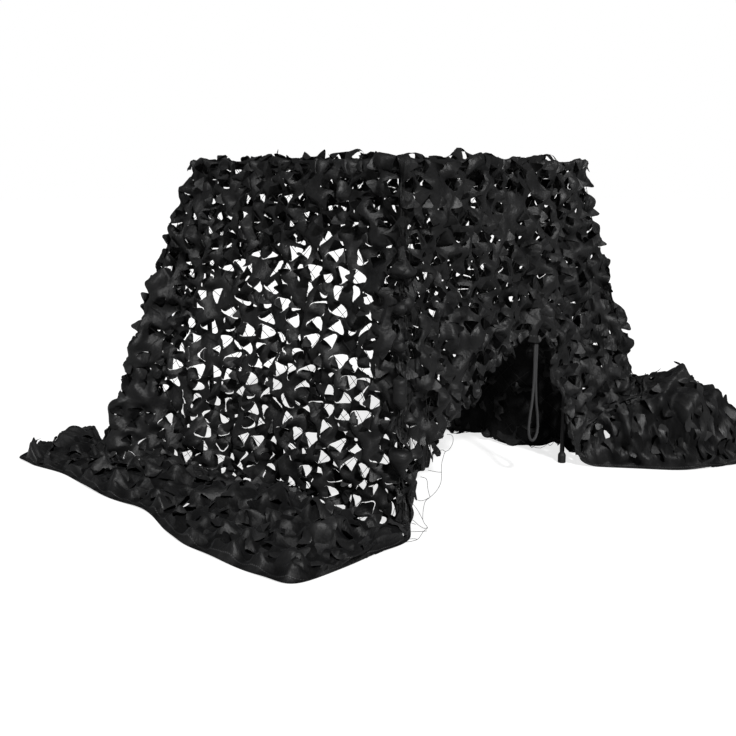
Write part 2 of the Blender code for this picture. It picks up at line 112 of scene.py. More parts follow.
def smooth_route(points, step):
    """Points a step apart on a smooth curve through the given ones."""
    points = np.array(points, float)
    padded = np.vstack([2 * points[0] - points[1], points, 2 * points[-1] - points[-2]])
    fine = []
    for i in range(1, len(padded) - 2):
        before, start, end, after = padded[i - 1:i + 3]
        for t in np.linspace(0, 1, 16, endpoint=False):
            fine.append(0.5 * (2 * start + (end - before) * t
                               + (2 * before - 5 * start + 4 * end - after) * t ** 2
                               + (3 * start - before - 3 * end + after) * t ** 3))
    fine = np.array(fine + [padded[-2]])
    travelled = np.concatenate([[0], np.cumsum(np.linalg.norm(np.diff(fine, axis=0), axis=1))])
    stops = np.linspace(0, travelled[-1], round(travelled[-1] / step) + 1)
    even = np.stack([np.interp(stops, travelled, fine[:, axis]) for axis in range(points.shape[1])], axis=-1)
    return even, travelled[-1]


def add_object(name, data):
    """Puts new data in the scene under a name."""
    made = bpy.data.objects.new(name, data)
    bpy.context.scene.collection.objects.link(made)
    return made


strand = LOOP_CORD / 2 + 0.0006
half_width = (LOOP_WIDTH - LOOP_CORD) / 2
right_side = ((strand, 0.000), (strand, -0.045), (strand, -0.095), (strand + 0.002, -0.125),
              (half_width * 0.50, -0.160), (half_width * 0.82, -0.192), (half_width, -0.222),
              (half_width * 0.88, -0.242), (half_width * 0.50, -0.254), (0.0, -LOOP_LENGTH + LOOP_CORD / 2))
loop_route = list(right_side) + [(-x, z) for x, z in reversed(right_side[:-1])]
loop_points, loop_cord_length = smooth_route(loop_route, LOOP_CORD)


def unit(vectors):
    """Vectors at length 1."""
    return vectors / np.maximum(np.linalg.norm(vectors, axis=-1, keepdims=True), 1e-9)


def tubes(name, runs, radius, sides):
    """One mesh of thin tubes along many lines of points, with the length along each in its UVs."""
    ring = np.arange(sides)
    points, faces, uvs = [], [], []
    start = 0
    for line in runs:
        ahead = unit(np.gradient(line, axis=0))
        away = unit(np.cross(ahead, np.array([0.31, 0.94, 0.17])))
        other = np.cross(ahead, away)
        angle = (ring / sides * 2 * math.pi)[:, None]
        circle = away[:, None] * np.cos(angle) + other[:, None] * np.sin(angle)
        points.append((line[:, None] + circle * radius).reshape(-1, 3))
        here = start + np.arange(len(line) - 1)[:, None] * sides
        corners = [here + ring, here + (ring + 1) % sides]
        faces.append(np.stack([corners[0], corners[1], corners[1] + sides, corners[0] + sides],
                              axis=-1).reshape(-1, 4))
        along = np.concatenate([[0], np.cumsum(np.linalg.norm(np.diff(line, axis=0), axis=1))])
        low, high = np.broadcast_arrays(along[:-1, None], ring[None])[0], along[1:, None] + 0 * ring
        turn, next_turn = np.broadcast_arrays(ring / sides, low)[0], (ring + 1) / sides + 0 * low
        uvs.append(np.stack([low, turn, low, next_turn, high, next_turn, high, turn], axis=-1).reshape(-1, 2))
        start += len(line) * sides
    mesh = bpy.data.meshes.new(name)
    mesh.from_pydata(np.concatenate(points).tolist(), [], np.concatenate(faces).tolist())
    mesh.uv_layers.new(name="length").data.foreach_set("uv", np.concatenate(uvs).astype(np.float32).ravel())
    mesh.shade_smooth()
    return mesh


fine_points, _ = smooth_route(loop_route, 0.0012)
fine_line = np.array([(loop_x + x, loop_y, loop_top + z) for x, z in fine_points])
loop_mesh = tubes("braided_loop", [fine_line], LOOP_CORD / 2, 20)
bm = bmesh.new()
bm.from_mesh(loop_mesh)
bmesh.ops.holes_fill(bm, edges=[edge for edge in bm.edges if edge.is_boundary])
bm.to_mesh(loop_mesh)
bm.free()
braided_loop = add_object("braided_loop", loop_mesh)
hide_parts("tie_loop")
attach(braided_loop, "root")
print("tie loop, cord length", round(float(loop_cord_length), 3))

# %% [markdown]
# ## How the net hangs
# A cloth over a table falls from the rim, turns at the floor and runs out along it. At each corner
# it has a spare quarter disc of cloth, which fans out. So a point of the fall is named by its place
# round the rim, from 0 to 8 with odd numbers starting a corner's fan, and by its drop from the rim.
# A short table says where each section meets the floor and where its hem lies, and two more say
# where it folds and where it is heaped. They are the same tables that the solid was made from.

# %% Sections, folds and heaps
EDGE_TURN = 0.012            # half of the cloth that is bent over the rail
FLOOR_TURN = 0.040           # half of the cloth that is bent where it meets the floor
FIRST_FOLD = 0.10            # drop at which the folds start to open,
FOLD_OPENING = 0.45          # and how much further they are wide open
HEM_FOLDS = 0.2              # share of a fold that is left at a hem on the floor,
FOLD_FROM_HEM = 0.15         # and the distance from it at which the whole fold is back
HEAP_FROM_HEM = 0.12         # the heaps fade out toward the hem,
HEAP_FROM_FOOT = 0.09        # and toward the foot of the fall,
LEANING_FROM = 5.05          # but not past this place, where they lean on it
LEANING_FADE = 0.15
TOP_SAG = 0.022
SECTION_SOFTENING = 0.05     # stretch of places over which the sections are blended
SEAT_GAP = 0.0003
CLOTH_THICKNESS = 0.002
EDGE_CLEARANCE = 0.002
RIM = HALF + EDGE_CLEARANCE
RAIL_INNER = HALF - RAIL_WIDTH - EDGE_CLEARANCE
CLOTH_TOP = FRAME_HEIGHT + SEAT_GAP + CLOTH_THICKNESS / 2
CLOTH_FLOOR = CLOTH_THICKNESS / 2

# Each section: its place, then in millimetres where it meets the floor, where its run on the floor
# ends, and how high its hem hangs.
SECTION_COLUMNS = ("place", "foot_x", "foot_y", "toe_x", "toe_y", "hem")
SECTIONS = (
    (0.00, -372, -352, -738, -415, 0),
    (0.25, -370, -190, -750, -250, 0),
    (0.52, -368, 10, -748, -17, 0),
    (0.61, -370, 78, -678, 127, 0),
    (0.80, -385, 220, -694, 290, 0),
    (0.92, -410, 330, -699, 420, 0),
    (1.00, -455, 410, -650, 540, 0),
    (1.15, -560, 529, -690, 700, 0),
    (1.30, -530, 610, -692, 809, 0),
    (1.45, -470, 690, -560, 868, 0),
    (1.58, -410, 700, -467, 850, 0),
    (1.70, -370, 620, -400, 800, 140),
    (1.85, -330, 500, -350, 700, 350),
    (2.00, -310, 430, -310, 700, 500),
    (2.15, -250, 385, -250, 700, 552),
    (2.50, 0, 380, 0, 700, 584),
    (2.80, 210, 380, 210, 700, 620),
    (3.00, 330, 385, 330, 700, 560),
    (3.30, 420, 460, 500, 640, 360),
    (3.50, 490, 480, 600, 600, 100),
    (3.66, 500, 450, 660, 560, 0),
    (4.00, 420, 350, 740, 370, 0),
    (4.38, 362, 86, 735, 100, 0),
    (4.62, 375, -85, 745, -80, 0),
    (4.80, 395, -210, 800, -240, 0),
    (5.00, 432, -300, 860, -430, 0),
    (5.25, 490, -400, 895, -599, 0),
    (5.45, 525, -480, 815, -700, 0),
    (5.66, 490, -500, 640, -712, 0),
    (5.85, 430, -465, 490, -628, 0),
    (6.00, 380, -405, 412, -488, 0),
    (6.05, 300, -385, 300, -450, 110),
    (6.10, 245, -380, 245, -450, 200),
    (6.16, 232, -378, 232, -450, 290),
    (6.21, 215, -377, 215, -450, 350),
    (6.28, 170, -377, 170, -450, 376),
    (6.40, 80, -376, 80, -450, 380),
    (6.55, -30, -376, -40, -450, 336),
    (6.75, -160, -378, -165, -450, 236),
    (7.00, -262, -380, -266, -460, 148),
    (7.35, -340, -380, -345, -450, 70),
    (7.60, -364, -380, -400, -422, 0),
    (7.80, -370, -374, -560, -420, 0),
)
# Each fold: its place and width round the rim, and its depth outwards.
FOLDS = (
    (0.10, 0.045, 0.016), (0.34, 0.050, 0.014), (0.50, 0.030, 0.022), (0.68, 0.045, 0.018),
    (0.90, 0.040, 0.030), (1.08, 0.050, -0.022), (1.22, 0.045, 0.024), (1.52, 0.060, -0.022),
    (1.80, 0.060, 0.020), (2.30, 0.070, 0.014), (2.68, 0.060, 0.016), (3.15, 0.090, 0.026),
    (3.42, 0.060, -0.022), (3.80, 0.080, 0.026), (4.20, 0.060, 0.020), (4.52, 0.050, 0.024),
    (4.74, 0.040, -0.016), (4.92, 0.045, 0.028), (5.14, 0.060, -0.022), (5.42, 0.060, 0.032),
    (5.74, 0.050, 0.028), (6.24, 0.045, 0.018), (6.48, 0.040, 0.020), (6.68, 0.035, 0.026),
    (6.86, 0.030, -0.014), (7.02, 0.045, 0.012), (7.22, 0.045, -0.006), (7.42, 0.050, 0.012),
    (7.72, 0.050, 0.018),
)
# Each heap: its middle, its reach along and across the way it is turned, the turn and its height.
HEAPS = (
    (0.562, -0.522, 0.182, 0.100, -42.0, 0.242),
    (0.550, -0.340, 0.140, 0.085, -20.0, 0.150),
    (-0.560, -0.300, 0.120, 0.050, 80.0, 0.040),
    (-0.540, -0.040, 0.110, 0.050, 100.0, 0.045),
    (-0.530, 0.300, 0.120, 0.050, 80.0, 0.050),
    (-0.600, 0.640, 0.130, 0.055, 60.0, 0.050),
    (0.570, 0.080, 0.130, 0.060, 95.0, 0.050),
    (0.560, 0.420, 0.110, 0.060, 60.0, 0.055),
)
print(len(SECTIONS), "sections,", len(FOLDS), "folds,", len(HEAPS), "heaps")


# %% From a place and a drop to a point in space
def section_column(name):
    """One named column of the table of sections, lengths in metres."""
    values = np.array([row[SECTION_COLUMNS.index(name)] for row in SECTIONS])
    return values if name == "place" else values / 1000


def rim_point(place):
    """The point of the rim at each place, and the direction that leads straight out from it."""
    corners = np.array([(-RIM, -RIM), (-RIM, RIM), (RIM, RIM), (RIM, -RIM), (-RIM, -RIM)])
    part = np.mod(place, 8.0)
    side = (part // 2).astype(int)
    along = np.clip(part - 2 * side, 0.0, 1.0)[..., None]
    turned = np.clip(part - 2 * side - 1.0, 0.0, 1.0)
    point = corners[side] * (1 - along) + corners[side + 1] * along
    angle = math.pi - (side + turned) * math.pi / 2
    return point, np.stack([np.cos(angle), np.sin(angle)], axis=-1)


def section_lengths():
    """Cloth from the rim to the hem at each section."""
    rim, out = rim_point(section_column("place"))
    foot = np.stack([section_column("foot_x"), section_column("foot_y")], axis=-1)
    toe = np.stack([section_column("toe_x"), section_column("toe_y")], axis=-1)
    hem = section_column("hem")
    slant = np.hypot(np.linalg.norm(foot - rim - out * EDGE_TURN, axis=-1), CLOTH_TOP - CLOTH_FLOOR)
    run = np.linalg.norm(toe - foot, axis=-1)
    return EDGE_TURN + np.where(hem > 0, slant * (1 - hem / CLOTH_TOP), slant + run)


def soften(values):
    """Joins the sections' values round the rim and blends them over a short stretch."""
    fine = np.arange(0.0, 8.0, 0.01)
    joined = np.interp(fine, section_column("place"), values, period=8.0)
    reach = np.arange(-20, 21)
    weights = np.exp(-0.5 * (reach * 0.01 / SECTION_SOFTENING) ** 2)
    padded = np.concatenate([joined[-20:], joined, joined[:20]])
    return fine, np.convolve(padded, weights / weights.sum(), mode="valid")


SOFTENED = {name: soften(section_column(name)) for name in SECTION_COLUMNS[1:5]}
SOFTENED["length"] = soften(section_lengths())


def at_place(name, place):
    """A section value at any place round the rim."""
    fine, smooth = SOFTENED[name]
    return np.interp(np.mod(place, 8.0), fine, smooth, period=8.0)


def ramp(distance, start, half_turn):
    """0 before a bend and the distance past it after it, with a smooth turn between them."""
    past = distance - start
    turning = (past + half_turn) ** 2 / (4 * half_turn)
    return np.where(past < -half_turn, 0.0, np.where(past > half_turn, past, turning))


def smooth_step(value):
    """0 to 1 with level ends."""
    value = np.clip(value, 0.0, 1.0)
    return value * value * (3 - 2 * value)


def fold_depth(place):
    """Sum of the main folds at each place."""
    depth = np.zeros_like(place)
    for at, width, outwards in FOLDS:
        apart = np.mod(place - at + 4.0, 8.0) - 4.0
        depth += outwards * np.exp(-0.5 * (apart / width) ** 2)
    return depth


def heap_height(x, y):
    """Height of the rucked cloth at a point of the floor."""
    height = np.zeros_like(x)
    for middle_x, middle_y, along, across, turn, top in HEAPS:
        cos, sin = math.cos(math.radians(turn)), math.sin(math.radians(turn))
        a = ((x - middle_x) * cos + (y - middle_y) * sin) / along
        b = ((y - middle_y) * cos - (x - middle_x) * sin) / across
        height = np.maximum(height, top * np.exp(-0.5 * (a * a + b * b)))
    return height


def drape(place, drop):
    """Middle of the cloth at a place round the rim and a drop from it, from the frame's middle."""
    rim, out = rim_point(place)
    start = np.concatenate([rim, np.full(rim.shape[:-1] + (1,), CLOTH_TOP)], axis=-1)
    level = np.concatenate([out, np.zeros(out.shape[:-1] + (1,))], axis=-1)
    floor_height = np.full_like(place, CLOTH_FLOOR)
    foot = np.stack([at_place("foot_x", place), at_place("foot_y", place), floor_height], axis=-1)
    toe = np.stack([at_place("toe_x", place), at_place("toe_y", place), floor_height], axis=-1)
    fall = foot - start - level * EDGE_TURN
    fall_length = np.linalg.norm(fall, axis=-1, keepdims=True)
    run = toe - foot
    run = run / np.linalg.norm(run, axis=-1, keepdims=True)
    drop = drop[..., None]
    over = ramp(drop, EDGE_TURN, EDGE_TURN)
    landed = ramp(drop, EDGE_TURN + fall_length, FLOOR_TURN)
    point = start + level * (drop - over) + fall / fall_length * (over - landed) + run * landed

    on_floor = smooth_step((drop - EDGE_TURN - fall_length + FLOOR_TURN) / (2 * FLOOR_TURN))
    opening = smooth_step((drop - FIRST_FOLD) / FOLD_OPENING)
    fold = fold_depth(place)[..., None] * opening
    to_hem = at_place("length", place)[..., None] - drop
    flatter = HEM_FOLDS + (1 - HEM_FOLDS) * smooth_step(to_hem / FOLD_FROM_HEM)
    point = point + fold * (level * (1 - on_floor) + np.array([0.0, 0.0, 1.0]) * on_floor * flatter)

    hem_fade = smooth_step(to_hem / HEAP_FROM_HEM)
    leaning = smooth_step((np.mod(place, 8.0)[..., None] - LEANING_FROM) / LEANING_FADE)
    foot_fade = leaning + (1 - leaning) * smooth_step(landed / HEAP_FROM_FOOT)
    heap = heap_height(point[..., 0], point[..., 1])[..., None] * hem_fade * foot_fade
    height = np.maximum(point[..., 2:], 0.0)
    heaped = np.where(drop > 2 * EDGE_TURN, (height ** 4 + heap ** 4) ** 0.25, height)
    point[..., 2:] = np.maximum(heaped, CLOTH_FLOOR)
    return point


def top_point(u, v):
    """The net on the open top of the frame: it sags between the rails and lies flat on them."""
    dip_u = np.cos(np.clip(u / RAIL_INNER, -1, 1) * math.pi / 2)
    dip_v = np.cos(np.clip(v / RAIL_INNER, -1, 1) * math.pi / 2)
    return np.stack([u, v, CLOTH_TOP - TOP_SAG * dip_u * dip_v], axis=-1)


def with_tangents(surface, across, down):
    """The surface's point, its unit directions across and down, and its outward normal."""
    nudge = 0.0008
    point = surface(across, down)
    way_across = unit(surface(across + nudge, down) - surface(across - nudge, down))
    way_down = unit(surface(across, down + nudge) - surface(across, np.maximum(down - nudge, 0)))
    return point, way_across, way_down, unit(np.cross(way_across, way_down))


print("hem to rim, longest cloth", round(float(SOFTENED["length"][1].max()), 3), "m")

# %% [markdown]
# The grid that the cloth is cut from should have cells of one real size. A corner's fan starts at
# nothing at the rim and is wide at the hem, so the columns are spread by the widest that the cloth
# gets at each place. The same measure lets the leaves be spread evenly over the real surface.

# %% Columns of even width
CLOTH_CELL = 0.0051
LANDING = 0.06               # stretch over which the cloth changes from hanging to lying
FIRST_PLACE = 2.5            # half way along the back, where the grid's two ends meet
measured_places = np.linspace(FIRST_PLACE, FIRST_PLACE + 8.0, 3201)
levels = np.array([0.10, 0.30, 0.50, 0.70, 0.85, 1.00, 1.15, 1.30])
ring_places, ring_drops = np.meshgrid(measured_places, levels)
ring_drops = np.minimum(ring_drops, at_place("length", ring_places))
rings = drape(ring_places, ring_drops)
ring_steps = np.linalg.norm(np.diff(rings, axis=1), axis=-1).max(axis=0)
girth = np.concatenate([[0], np.cumsum(ring_steps)])
GIRTH = girth[-1]
column_across = np.linspace(0, GIRTH, int(round(GIRTH / CLOTH_CELL)) + 1)
row_down = np.arange(0.0, SOFTENED["length"][1].max() + CLOTH_CELL, CLOTH_CELL)


def place_of(across):
    """Place round the rim of a distance across the skirt of cloth."""
    return np.interp(across, girth, measured_places)


def skirt_surface(across, down):
    """The hanging cloth, from a distance across and a drop."""
    return drape(place_of(across), down)


def hem_length(across):
    """Cloth from the rim to the hem at a distance across the skirt."""
    return at_place("length", place_of(across))


def skirt_room(across, down):
    """Cloth left between a point of the skirt and its hem."""
    return hem_length(across) - down


def floor_drop(across):
    """Drop at which the cloth reaches the floor, or would reach it."""
    place = place_of(across)
    rim, out = rim_point(place)
    foot = np.stack([at_place("foot_x", place), at_place("foot_y", place)], axis=-1)
    slant = np.linalg.norm(foot - rim - out * EDGE_TURN, axis=-1)
    return EDGE_TURN + np.hypot(slant, CLOTH_TOP - CLOTH_FLOOR)


def skirt_landed(across, down):
    """1 where the cloth has run out on the floor, 0 where it hangs."""
    return smooth_step((down - floor_drop(across)) / LANDING)


def skirt_hem_raised(across):
    """1 where the hem hangs clear of the floor, 0 where it lies on it."""
    return smooth_step((floor_drop(across) - hem_length(across)) / LANDING)


def nowhere(across, down=None):
    """The top neither lands on the floor nor has a hem."""
    return np.zeros(np.shape(across))


def top_room(across, down):
    """How far a point of the top is from the rim."""
    return RIM - np.maximum(np.abs(across), np.abs(down))


print("columns", len(column_across), "rows", len(row_down), "girth", round(float(GIRTH), 2), "m")

# %% [markdown]
# ## The leaves
# The maker punches rows of curved slits. Each slit leaves a tongue of cloth that is held on one
# side. When the net is pulled open the tongue twists out as a leaf, and a three-cornered gap shows
# where it was. The same is done here: the outline of each leaf is laid on the grid, the nearest
# grid points are moved onto it, the edges along it are split all but the hinge, and the leaf is
# bent out. Gap and leaf come from one cut, as on the real net.

# %% Where the leaves are
LEAF_SIZE = 0.0158           # mean radius of a gap
LEAF_PITCH = 0.0470          # along a row
LEAF_ROW_PITCH = 0.0400
LEAF_SPACING = 0.0046        # least cloth round a gap
HEM_BAND = 0.022
RAISED_BAND = 0.001          # the same, where the hem hangs
TOP_BAND = 0.004             # and beside the top's rim
HINGE_HALF_ANGLE = math.radians(50)
HINGE_AT = 0.80              # from the leaf's middle, as a share of its size
# The place in a side's middle, how far it reaches to either end, and the stretch in which it fades.
TIGHT_SIDE = (0.56, 0.32, 0.38)      # pulled tightest
CLOSED_SIDE = (4.4, 0.7, 0.3)        # where the leaves stay nearly shut
LOOSER_SIDE = (6.9, 0.5, 0.5)        # beside it, with the raised hem
TOP_PULL = 0.5               # how tight the top is, 1 being the tightest,
PLAIN_PULL = 0.38            # and the fall away from those sides,
TIGHT_MORE = 0.58            # and what each of them adds or takes
CLOSED_LESS = 0.26
LOOSER_MORE = 0.27
LOW_FROM = 0.42              # height below which the fall slackens,
LOW_FROM_LESS = 0.20         # how much lower that is on the tight side,
LOW_SLACK = 0.6              # and the share of the pull that goes there
FLOOR_SLACK = 0.35           # and on the floor
PULL_BACK = 0.0026           # how far the cloth round a gap is drawn back,
PULL_REACH = 0.010           # and how far from the gap
EDGE_TIP = 0.0115            # how far it tips in or out,
TIP_REACH = 0.018            # and how far from the gap
RIM_FADE = 0.008             # cloth beside the rim that stays in line, so that the pieces meet
HEM_FADE = 0.030             # the same beside a hem on the floor, so that it lies flat
HEM_FLAT = 0.004
HINGE_BEND = 0.012           # length of the bend at a leaf's hinge
FRAY_REACH = 0.035           # how far from a raised hem it strays
HALF_WINDOW = 80             # columns to either side in which a leaf is looked for
dice = np.random.default_rng(11)


def new_leaf(across, down, size=1.0):
    """The measures of one leaf: where it is, its outline, and how it bends."""
    return {
        "across": across, "down": down,
        "size": LEAF_SIZE * size * dice.uniform(0.84, 1.06), "point": dice.uniform(0.15, 0.27),
        "turn": dice.integers(0, 4) * math.pi / 2 + math.pi / 4 + dice.normal(0, 0.42),
        "lift": math.radians(dice.uniform(28, 96)), "curl": math.radians(dice.uniform(0, 80)),
        "twist": dice.normal(0, 13.0), "cup": dice.normal(3.0, 8.0), "tone": dice.uniform(0, 1),
        "side": 1.0 if dice.uniform() < 0.84 else -1.0,
    }


def row_arc(surface, across, down):
    """Real distance along one row of the cloth, up to each column."""
    line = surface(across, np.full_like(across, down))
    return np.concatenate([[0], np.cumsum(np.linalg.norm(np.diff(line, axis=0), axis=1) + 1e-7)])


def row_of_leaves(surface, across, down, shift):
    """Leaves at an even real spacing along one row of the cloth."""
    arc = row_arc(surface, across, down)
    count = max(int(round(arc[-1] / LEAF_PITCH)), 1)
    stops = (np.arange(count) + 0.25 + 0.5 * shift + dice.uniform(-0.05, 0.05, count)) * arc[-1] / count
    places = np.interp(stops, arc, across)
    return [new_leaf(where, down + dice.uniform(-0.0025, 0.0025)) for where in places]


def leaf_edge(x, y, leaf):
    """Distance of the leaf's outline, a rounded triangle, in the direction of each point."""
    angle = np.arctan2(y, x) - leaf["turn"]
    return leaf["size"] * (1 + leaf["point"] * np.cos(3 * angle) + 0.045 * np.cos(6 * angle)), angle


# %% Lay the outlines on a grid
def window_of(surface, across, down, leaf):
    """The rows and columns near a leaf, and how far each of their points is from its middle."""
    reach = leaf["size"] * 1.35 + 0.030
    middle = int(np.searchsorted(across, leaf["across"]))
    start = max(middle - HALF_WINDOW, 0)
    some = across[start:middle + HALF_WINDOW]
    arc = row_arc(surface, some, leaf["down"])
    arc -= np.interp(leaf["across"], some, arc)
    first, last = np.searchsorted(arc, (-reach, reach))
    low, high = np.searchsorted(down, (leaf["down"] - reach, leaf["down"] + reach))
    x, y = np.meshgrid(arc[first:last], down[low:high] - leaf["down"])
    return slice(low, high), slice(start + first, start + last), x, y, some, arc


def mark_leaves(surface, room, pull_at, across, down, candidates, hem_band):
    """Lays the leaves on the grid, one after another, each only where there is room for it."""
    moved = np.stack(np.meshgrid(across, down), axis=-1)
    left = room(moved[..., 0], moved[..., 1])
    marks = {"moved": moved, "local": np.zeros_like(moved), "tip": np.full(moved.shape[:2], math.pi),
             "cell": np.full((len(down) - 1, len(across) - 1), -1),
             "shift": np.zeros(moved.shape[:2] + (3,))}
    taken = np.zeros(moved.shape[:2], bool)
    leaves = []
    for leaf in candidates:
        rows, columns, x, y, some, arc = window_of(surface, across, down, leaf)
        if min(x.shape) < 5:
            continue
        radius = np.maximum(np.hypot(x, y), 1e-6)
        edge, angle = leaf_edge(x, y, leaf)
        close = radius < edge + LEAF_SPACING
        too_near_hem = left[rows, columns][close].min() < hem_band(leaf["across"])
        if taken[rows, columns][close].any() or too_near_hem:
            continue
        centre_x = (x[1:, 1:] + x[:-1, :-1]) / 2
        centre_y = (y[1:, 1:] + y[:-1, :-1]) / 2
        inside = np.hypot(centre_x, centre_y) < leaf_edge(centre_x, centre_y, leaf)[0]
        beside = np.pad(inside, 1)
        corners = np.stack([beside[1:, 1:], beside[:-1, 1:], beside[1:, :-1], beside[:-1, :-1]])
        in_leaf = corners.any(axis=0)
        on_edge = in_leaf & ~corners.all(axis=0)
        scale = np.where(on_edge, edge / radius, 1.0)
        near_x, near_y = x * scale, y * scale
        marks["moved"][rows, columns][on_edge] = np.stack(
            [np.interp(near_x[on_edge], arc, some), leaf["down"] + near_y[on_edge]], axis=-1)
        marks["local"][rows, columns][in_leaf] = np.stack([near_x, near_y], axis=-1)[in_leaf]
        turned = np.mod(angle + math.pi, 2 * math.pi) - math.pi
        marks["tip"][rows, columns][on_edge] = turned[on_edge]
        marks["cell"][rows.start:rows.stop - 1, columns.start:columns.stop - 1][inside] = len(leaves)
        taken[rows, columns] |= in_leaf
        # The cloth round a gap is pulled back from it, and tips: in at the leaf's tip, out at its hinge.
        beyond = np.maximum(radius - edge, 0.0)
        leaf["pull"] = pull_at(leaf["across"], leaf["down"])
        pull = PULL_BACK * leaf["pull"] * np.exp(-beyond / PULL_REACH)
        tilt = -EDGE_TIP * np.cos(angle) * np.exp(-(beyond / TIP_REACH) ** 2)
        marks["shift"][rows, columns] += np.stack(
            [pull * x / radius, pull * y / radius, tilt], axis=-1) * (radius > 0.5 * edge)[..., None]
        leaves.append(leaf)
    return leaves, marks


def skirt_hem_band(across):
    """Width of the plain band at the hem: next to none where the hem hangs."""
    return HEM_BAND - (HEM_BAND - RAISED_BAND) * float(skirt_hem_raised(np.array([across]))[0])


def top_hem_band(across):
    """Width of the plain band beside the top's rim."""
    return TOP_BAND


def top_pull(across, down):
    """How tight the top is: the same all over."""
    return TOP_PULL


def near_place(across, middle, reach, fade):
    """1 within reach of a place round the rim, fading to 0."""
    away = abs((place_of(across) - middle + 4.0) % 8.0 - 4.0)
    return 1 - float(smooth_step((away - reach) / fade))


def skirt_pull(across, down):
    """How tight the fall is: most on the front left side, little at the back, least on the floor."""
    point = skirt_surface(np.array([across]), np.array([down]))
    tight, closed, looser = [near_place(across, *span) for span in (TIGHT_SIDE, CLOSED_SIDE, LOOSER_SIDE)]
    pull = PLAIN_PULL - CLOSED_LESS * closed + TIGHT_MORE * tight + LOOSER_MORE * looser * (1 - tight)
    low_from = LOW_FROM - LOW_FROM_LESS * tight
    low = 1 - LOW_SLACK * float(smooth_step((low_from - point[0, 2]) / (0.75 * low_from)))
    return pull * low * (1 - FLOOR_SLACK * float(skirt_landed(np.array([across]), np.array([down]))[0]))


# %% [markdown]
# `bmesh.ops.create_grid` makes the flat cloth, and `split_edges` is the knife. Only then do the
# points leave the flat: the mesh goes to numpy once, and all of it is moved in a few array sums.

# %% Cut the flat cloth
def cut_cloth(name, marks, first, last, keep):
    """A flat mesh of the kept cells of some columns, with every leaf cut free except at its hinge."""
    flat = marks["moved"][:, first:last + 1].reshape(-1, 2).tolist()
    at_hinge = (np.abs(marks["tip"][:, first:last + 1]) > math.pi - HINGE_HALF_ANGLE).ravel().tolist()
    cells = marks["cell"][:, first:last].tolist()
    kept = keep[:, first:last].tolist()
    wide = last - first + 1
    bm = bmesh.new()
    bmesh.ops.create_grid(bm, x_segments=wide - 1, y_segments=len(marks["moved"]) - 1, size=0.5)
    grid_point = bm.verts.layers.int.new("grid_point")
    leaf_number = bm.verts.layers.int.new("leaf_number")
    for index, vert in enumerate(bm.verts):
        vert.co = (*flat[index], 0.0)
        row, column = divmod(index, wide)
        vert[grid_point] = row * marks["moved"].shape[1] + first + column
    dropped = []
    leaf_of_face = {}
    for face in bm.faces:
        row, column = divmod(min(vert.index for vert in face.verts), wide)
        if kept[row][column]:
            leaf_of_face[face] = cells[row][column]
        else:
            dropped.append(face)
    cuts = []
    for edge in bm.edges:
        sides = [leaf_of_face.get(face, -1) for face in edge.link_faces]
        if len(sides) == 2 and sides[0] != sides[1]:
            if not (at_hinge[edge.verts[0].index] and at_hinge[edge.verts[1].index]):
                cuts.append(edge)
    bmesh.ops.split_edges(bm, edges=cuts)
    for vert in bm.verts:
        numbers = {leaf_of_face.get(face, -1) for face in vert.link_faces}
        vert[leaf_number] = numbers.pop() if len(numbers) == 1 else -1
    bmesh.ops.delete(bm, geom=dropped, context="FACES")
    mesh = bpy.data.meshes.new(name)
    bm.to_mesh(mesh)
    bm.free()
    return mesh


def read_points(mesh, name):
    """A whole-number point attribute of a mesh as an array."""
    values = np.empty(len(mesh.vertices), np.int32)
    mesh.attributes[name].data.foreach_get("value", values)
    return values


# %% Bend the leaves and lay the cloth
CRUMPLES = (((23, 7, 31), 0.4, 0.0038), ((-17, 29, 19), 2.1, 0.0036), ((47, -31, 11), 4.4, 0.0034),
            ((11, 53, -37), 1.3, 0.0034), ((61, 43, 39), 3.6, 0.0026), ((-37, 59, 67), 0.9, 0.0020))


def crumple(points):
    """Small uneven waves, from the sum of a few slanting ripples."""
    height = np.zeros(points.shape[:-1])
    for waves, start, size in CRUMPLES:
        height += size * np.sin(points @ np.array(waves, float) + start)
    return height


BUNCHES = (((9, -31, 12), 0.7, 0.0100), ((27, 17, -20), 2.2, 0.0090), ((-14, 38, 26), 4.0, 0.0075),
           ((41, 29, 30), 5.1, 0.0050))
BUNCH_LIFT = 0.013
ROPE_SIZE = 0.0035            # the ridges that run along a hem on the floor
ROPE_PITCH = 0.026
ROPE_REACH = 0.08
HOLLOW_FROM = 0.006           # the cloth is darkest below this relief, where no light gets in
HOLLOW_RISE = 0.022
FRAY_SIZE = 0.010             # how far a raised hem strays from its line
RAGGED = (171.0, 2.4, 67.0)   # the uneven waves that it strays in, along the cloth
FLUTTER = (109.0, 1.9, 83.0)  # and across it


def bunching(points):
    """Sharp ridges where the cloth is rucked up on the floor."""
    height = np.full(points.shape[:-1], BUNCH_LIFT)
    for waves, start, size in BUNCHES:
        bent = points + 0.02 * np.sin(points[..., ::-1] * 19.0 + start)
        height += size * (0.64 - np.abs(np.sin(bent @ np.array(waves, float) + start))) * 2.0
    return height


def relief(points, landed, to_hem):
    """Height of the cloth's small shapes above its plain surface."""
    rope = ROPE_SIZE * np.sin(to_hem * 2 * math.pi / ROPE_PITCH + 2.0 * np.sin(points[..., 0] * 9.0))
    near_hem = np.exp(-(to_hem / ROPE_REACH) ** 2)
    return crumple(points) + landed * (bunching(points) + rope * near_hem)


def uneven_wave(across, pitch, bend, bend_pitch):
    """A wave along the hem whose own pitch comes and goes."""
    return np.sin(across * pitch + bend * np.sin(across * bend_pitch))


def leaf_values(leaves, name):
    """One measure of every leaf."""
    return np.array([leaf[name] for leaf in leaves])


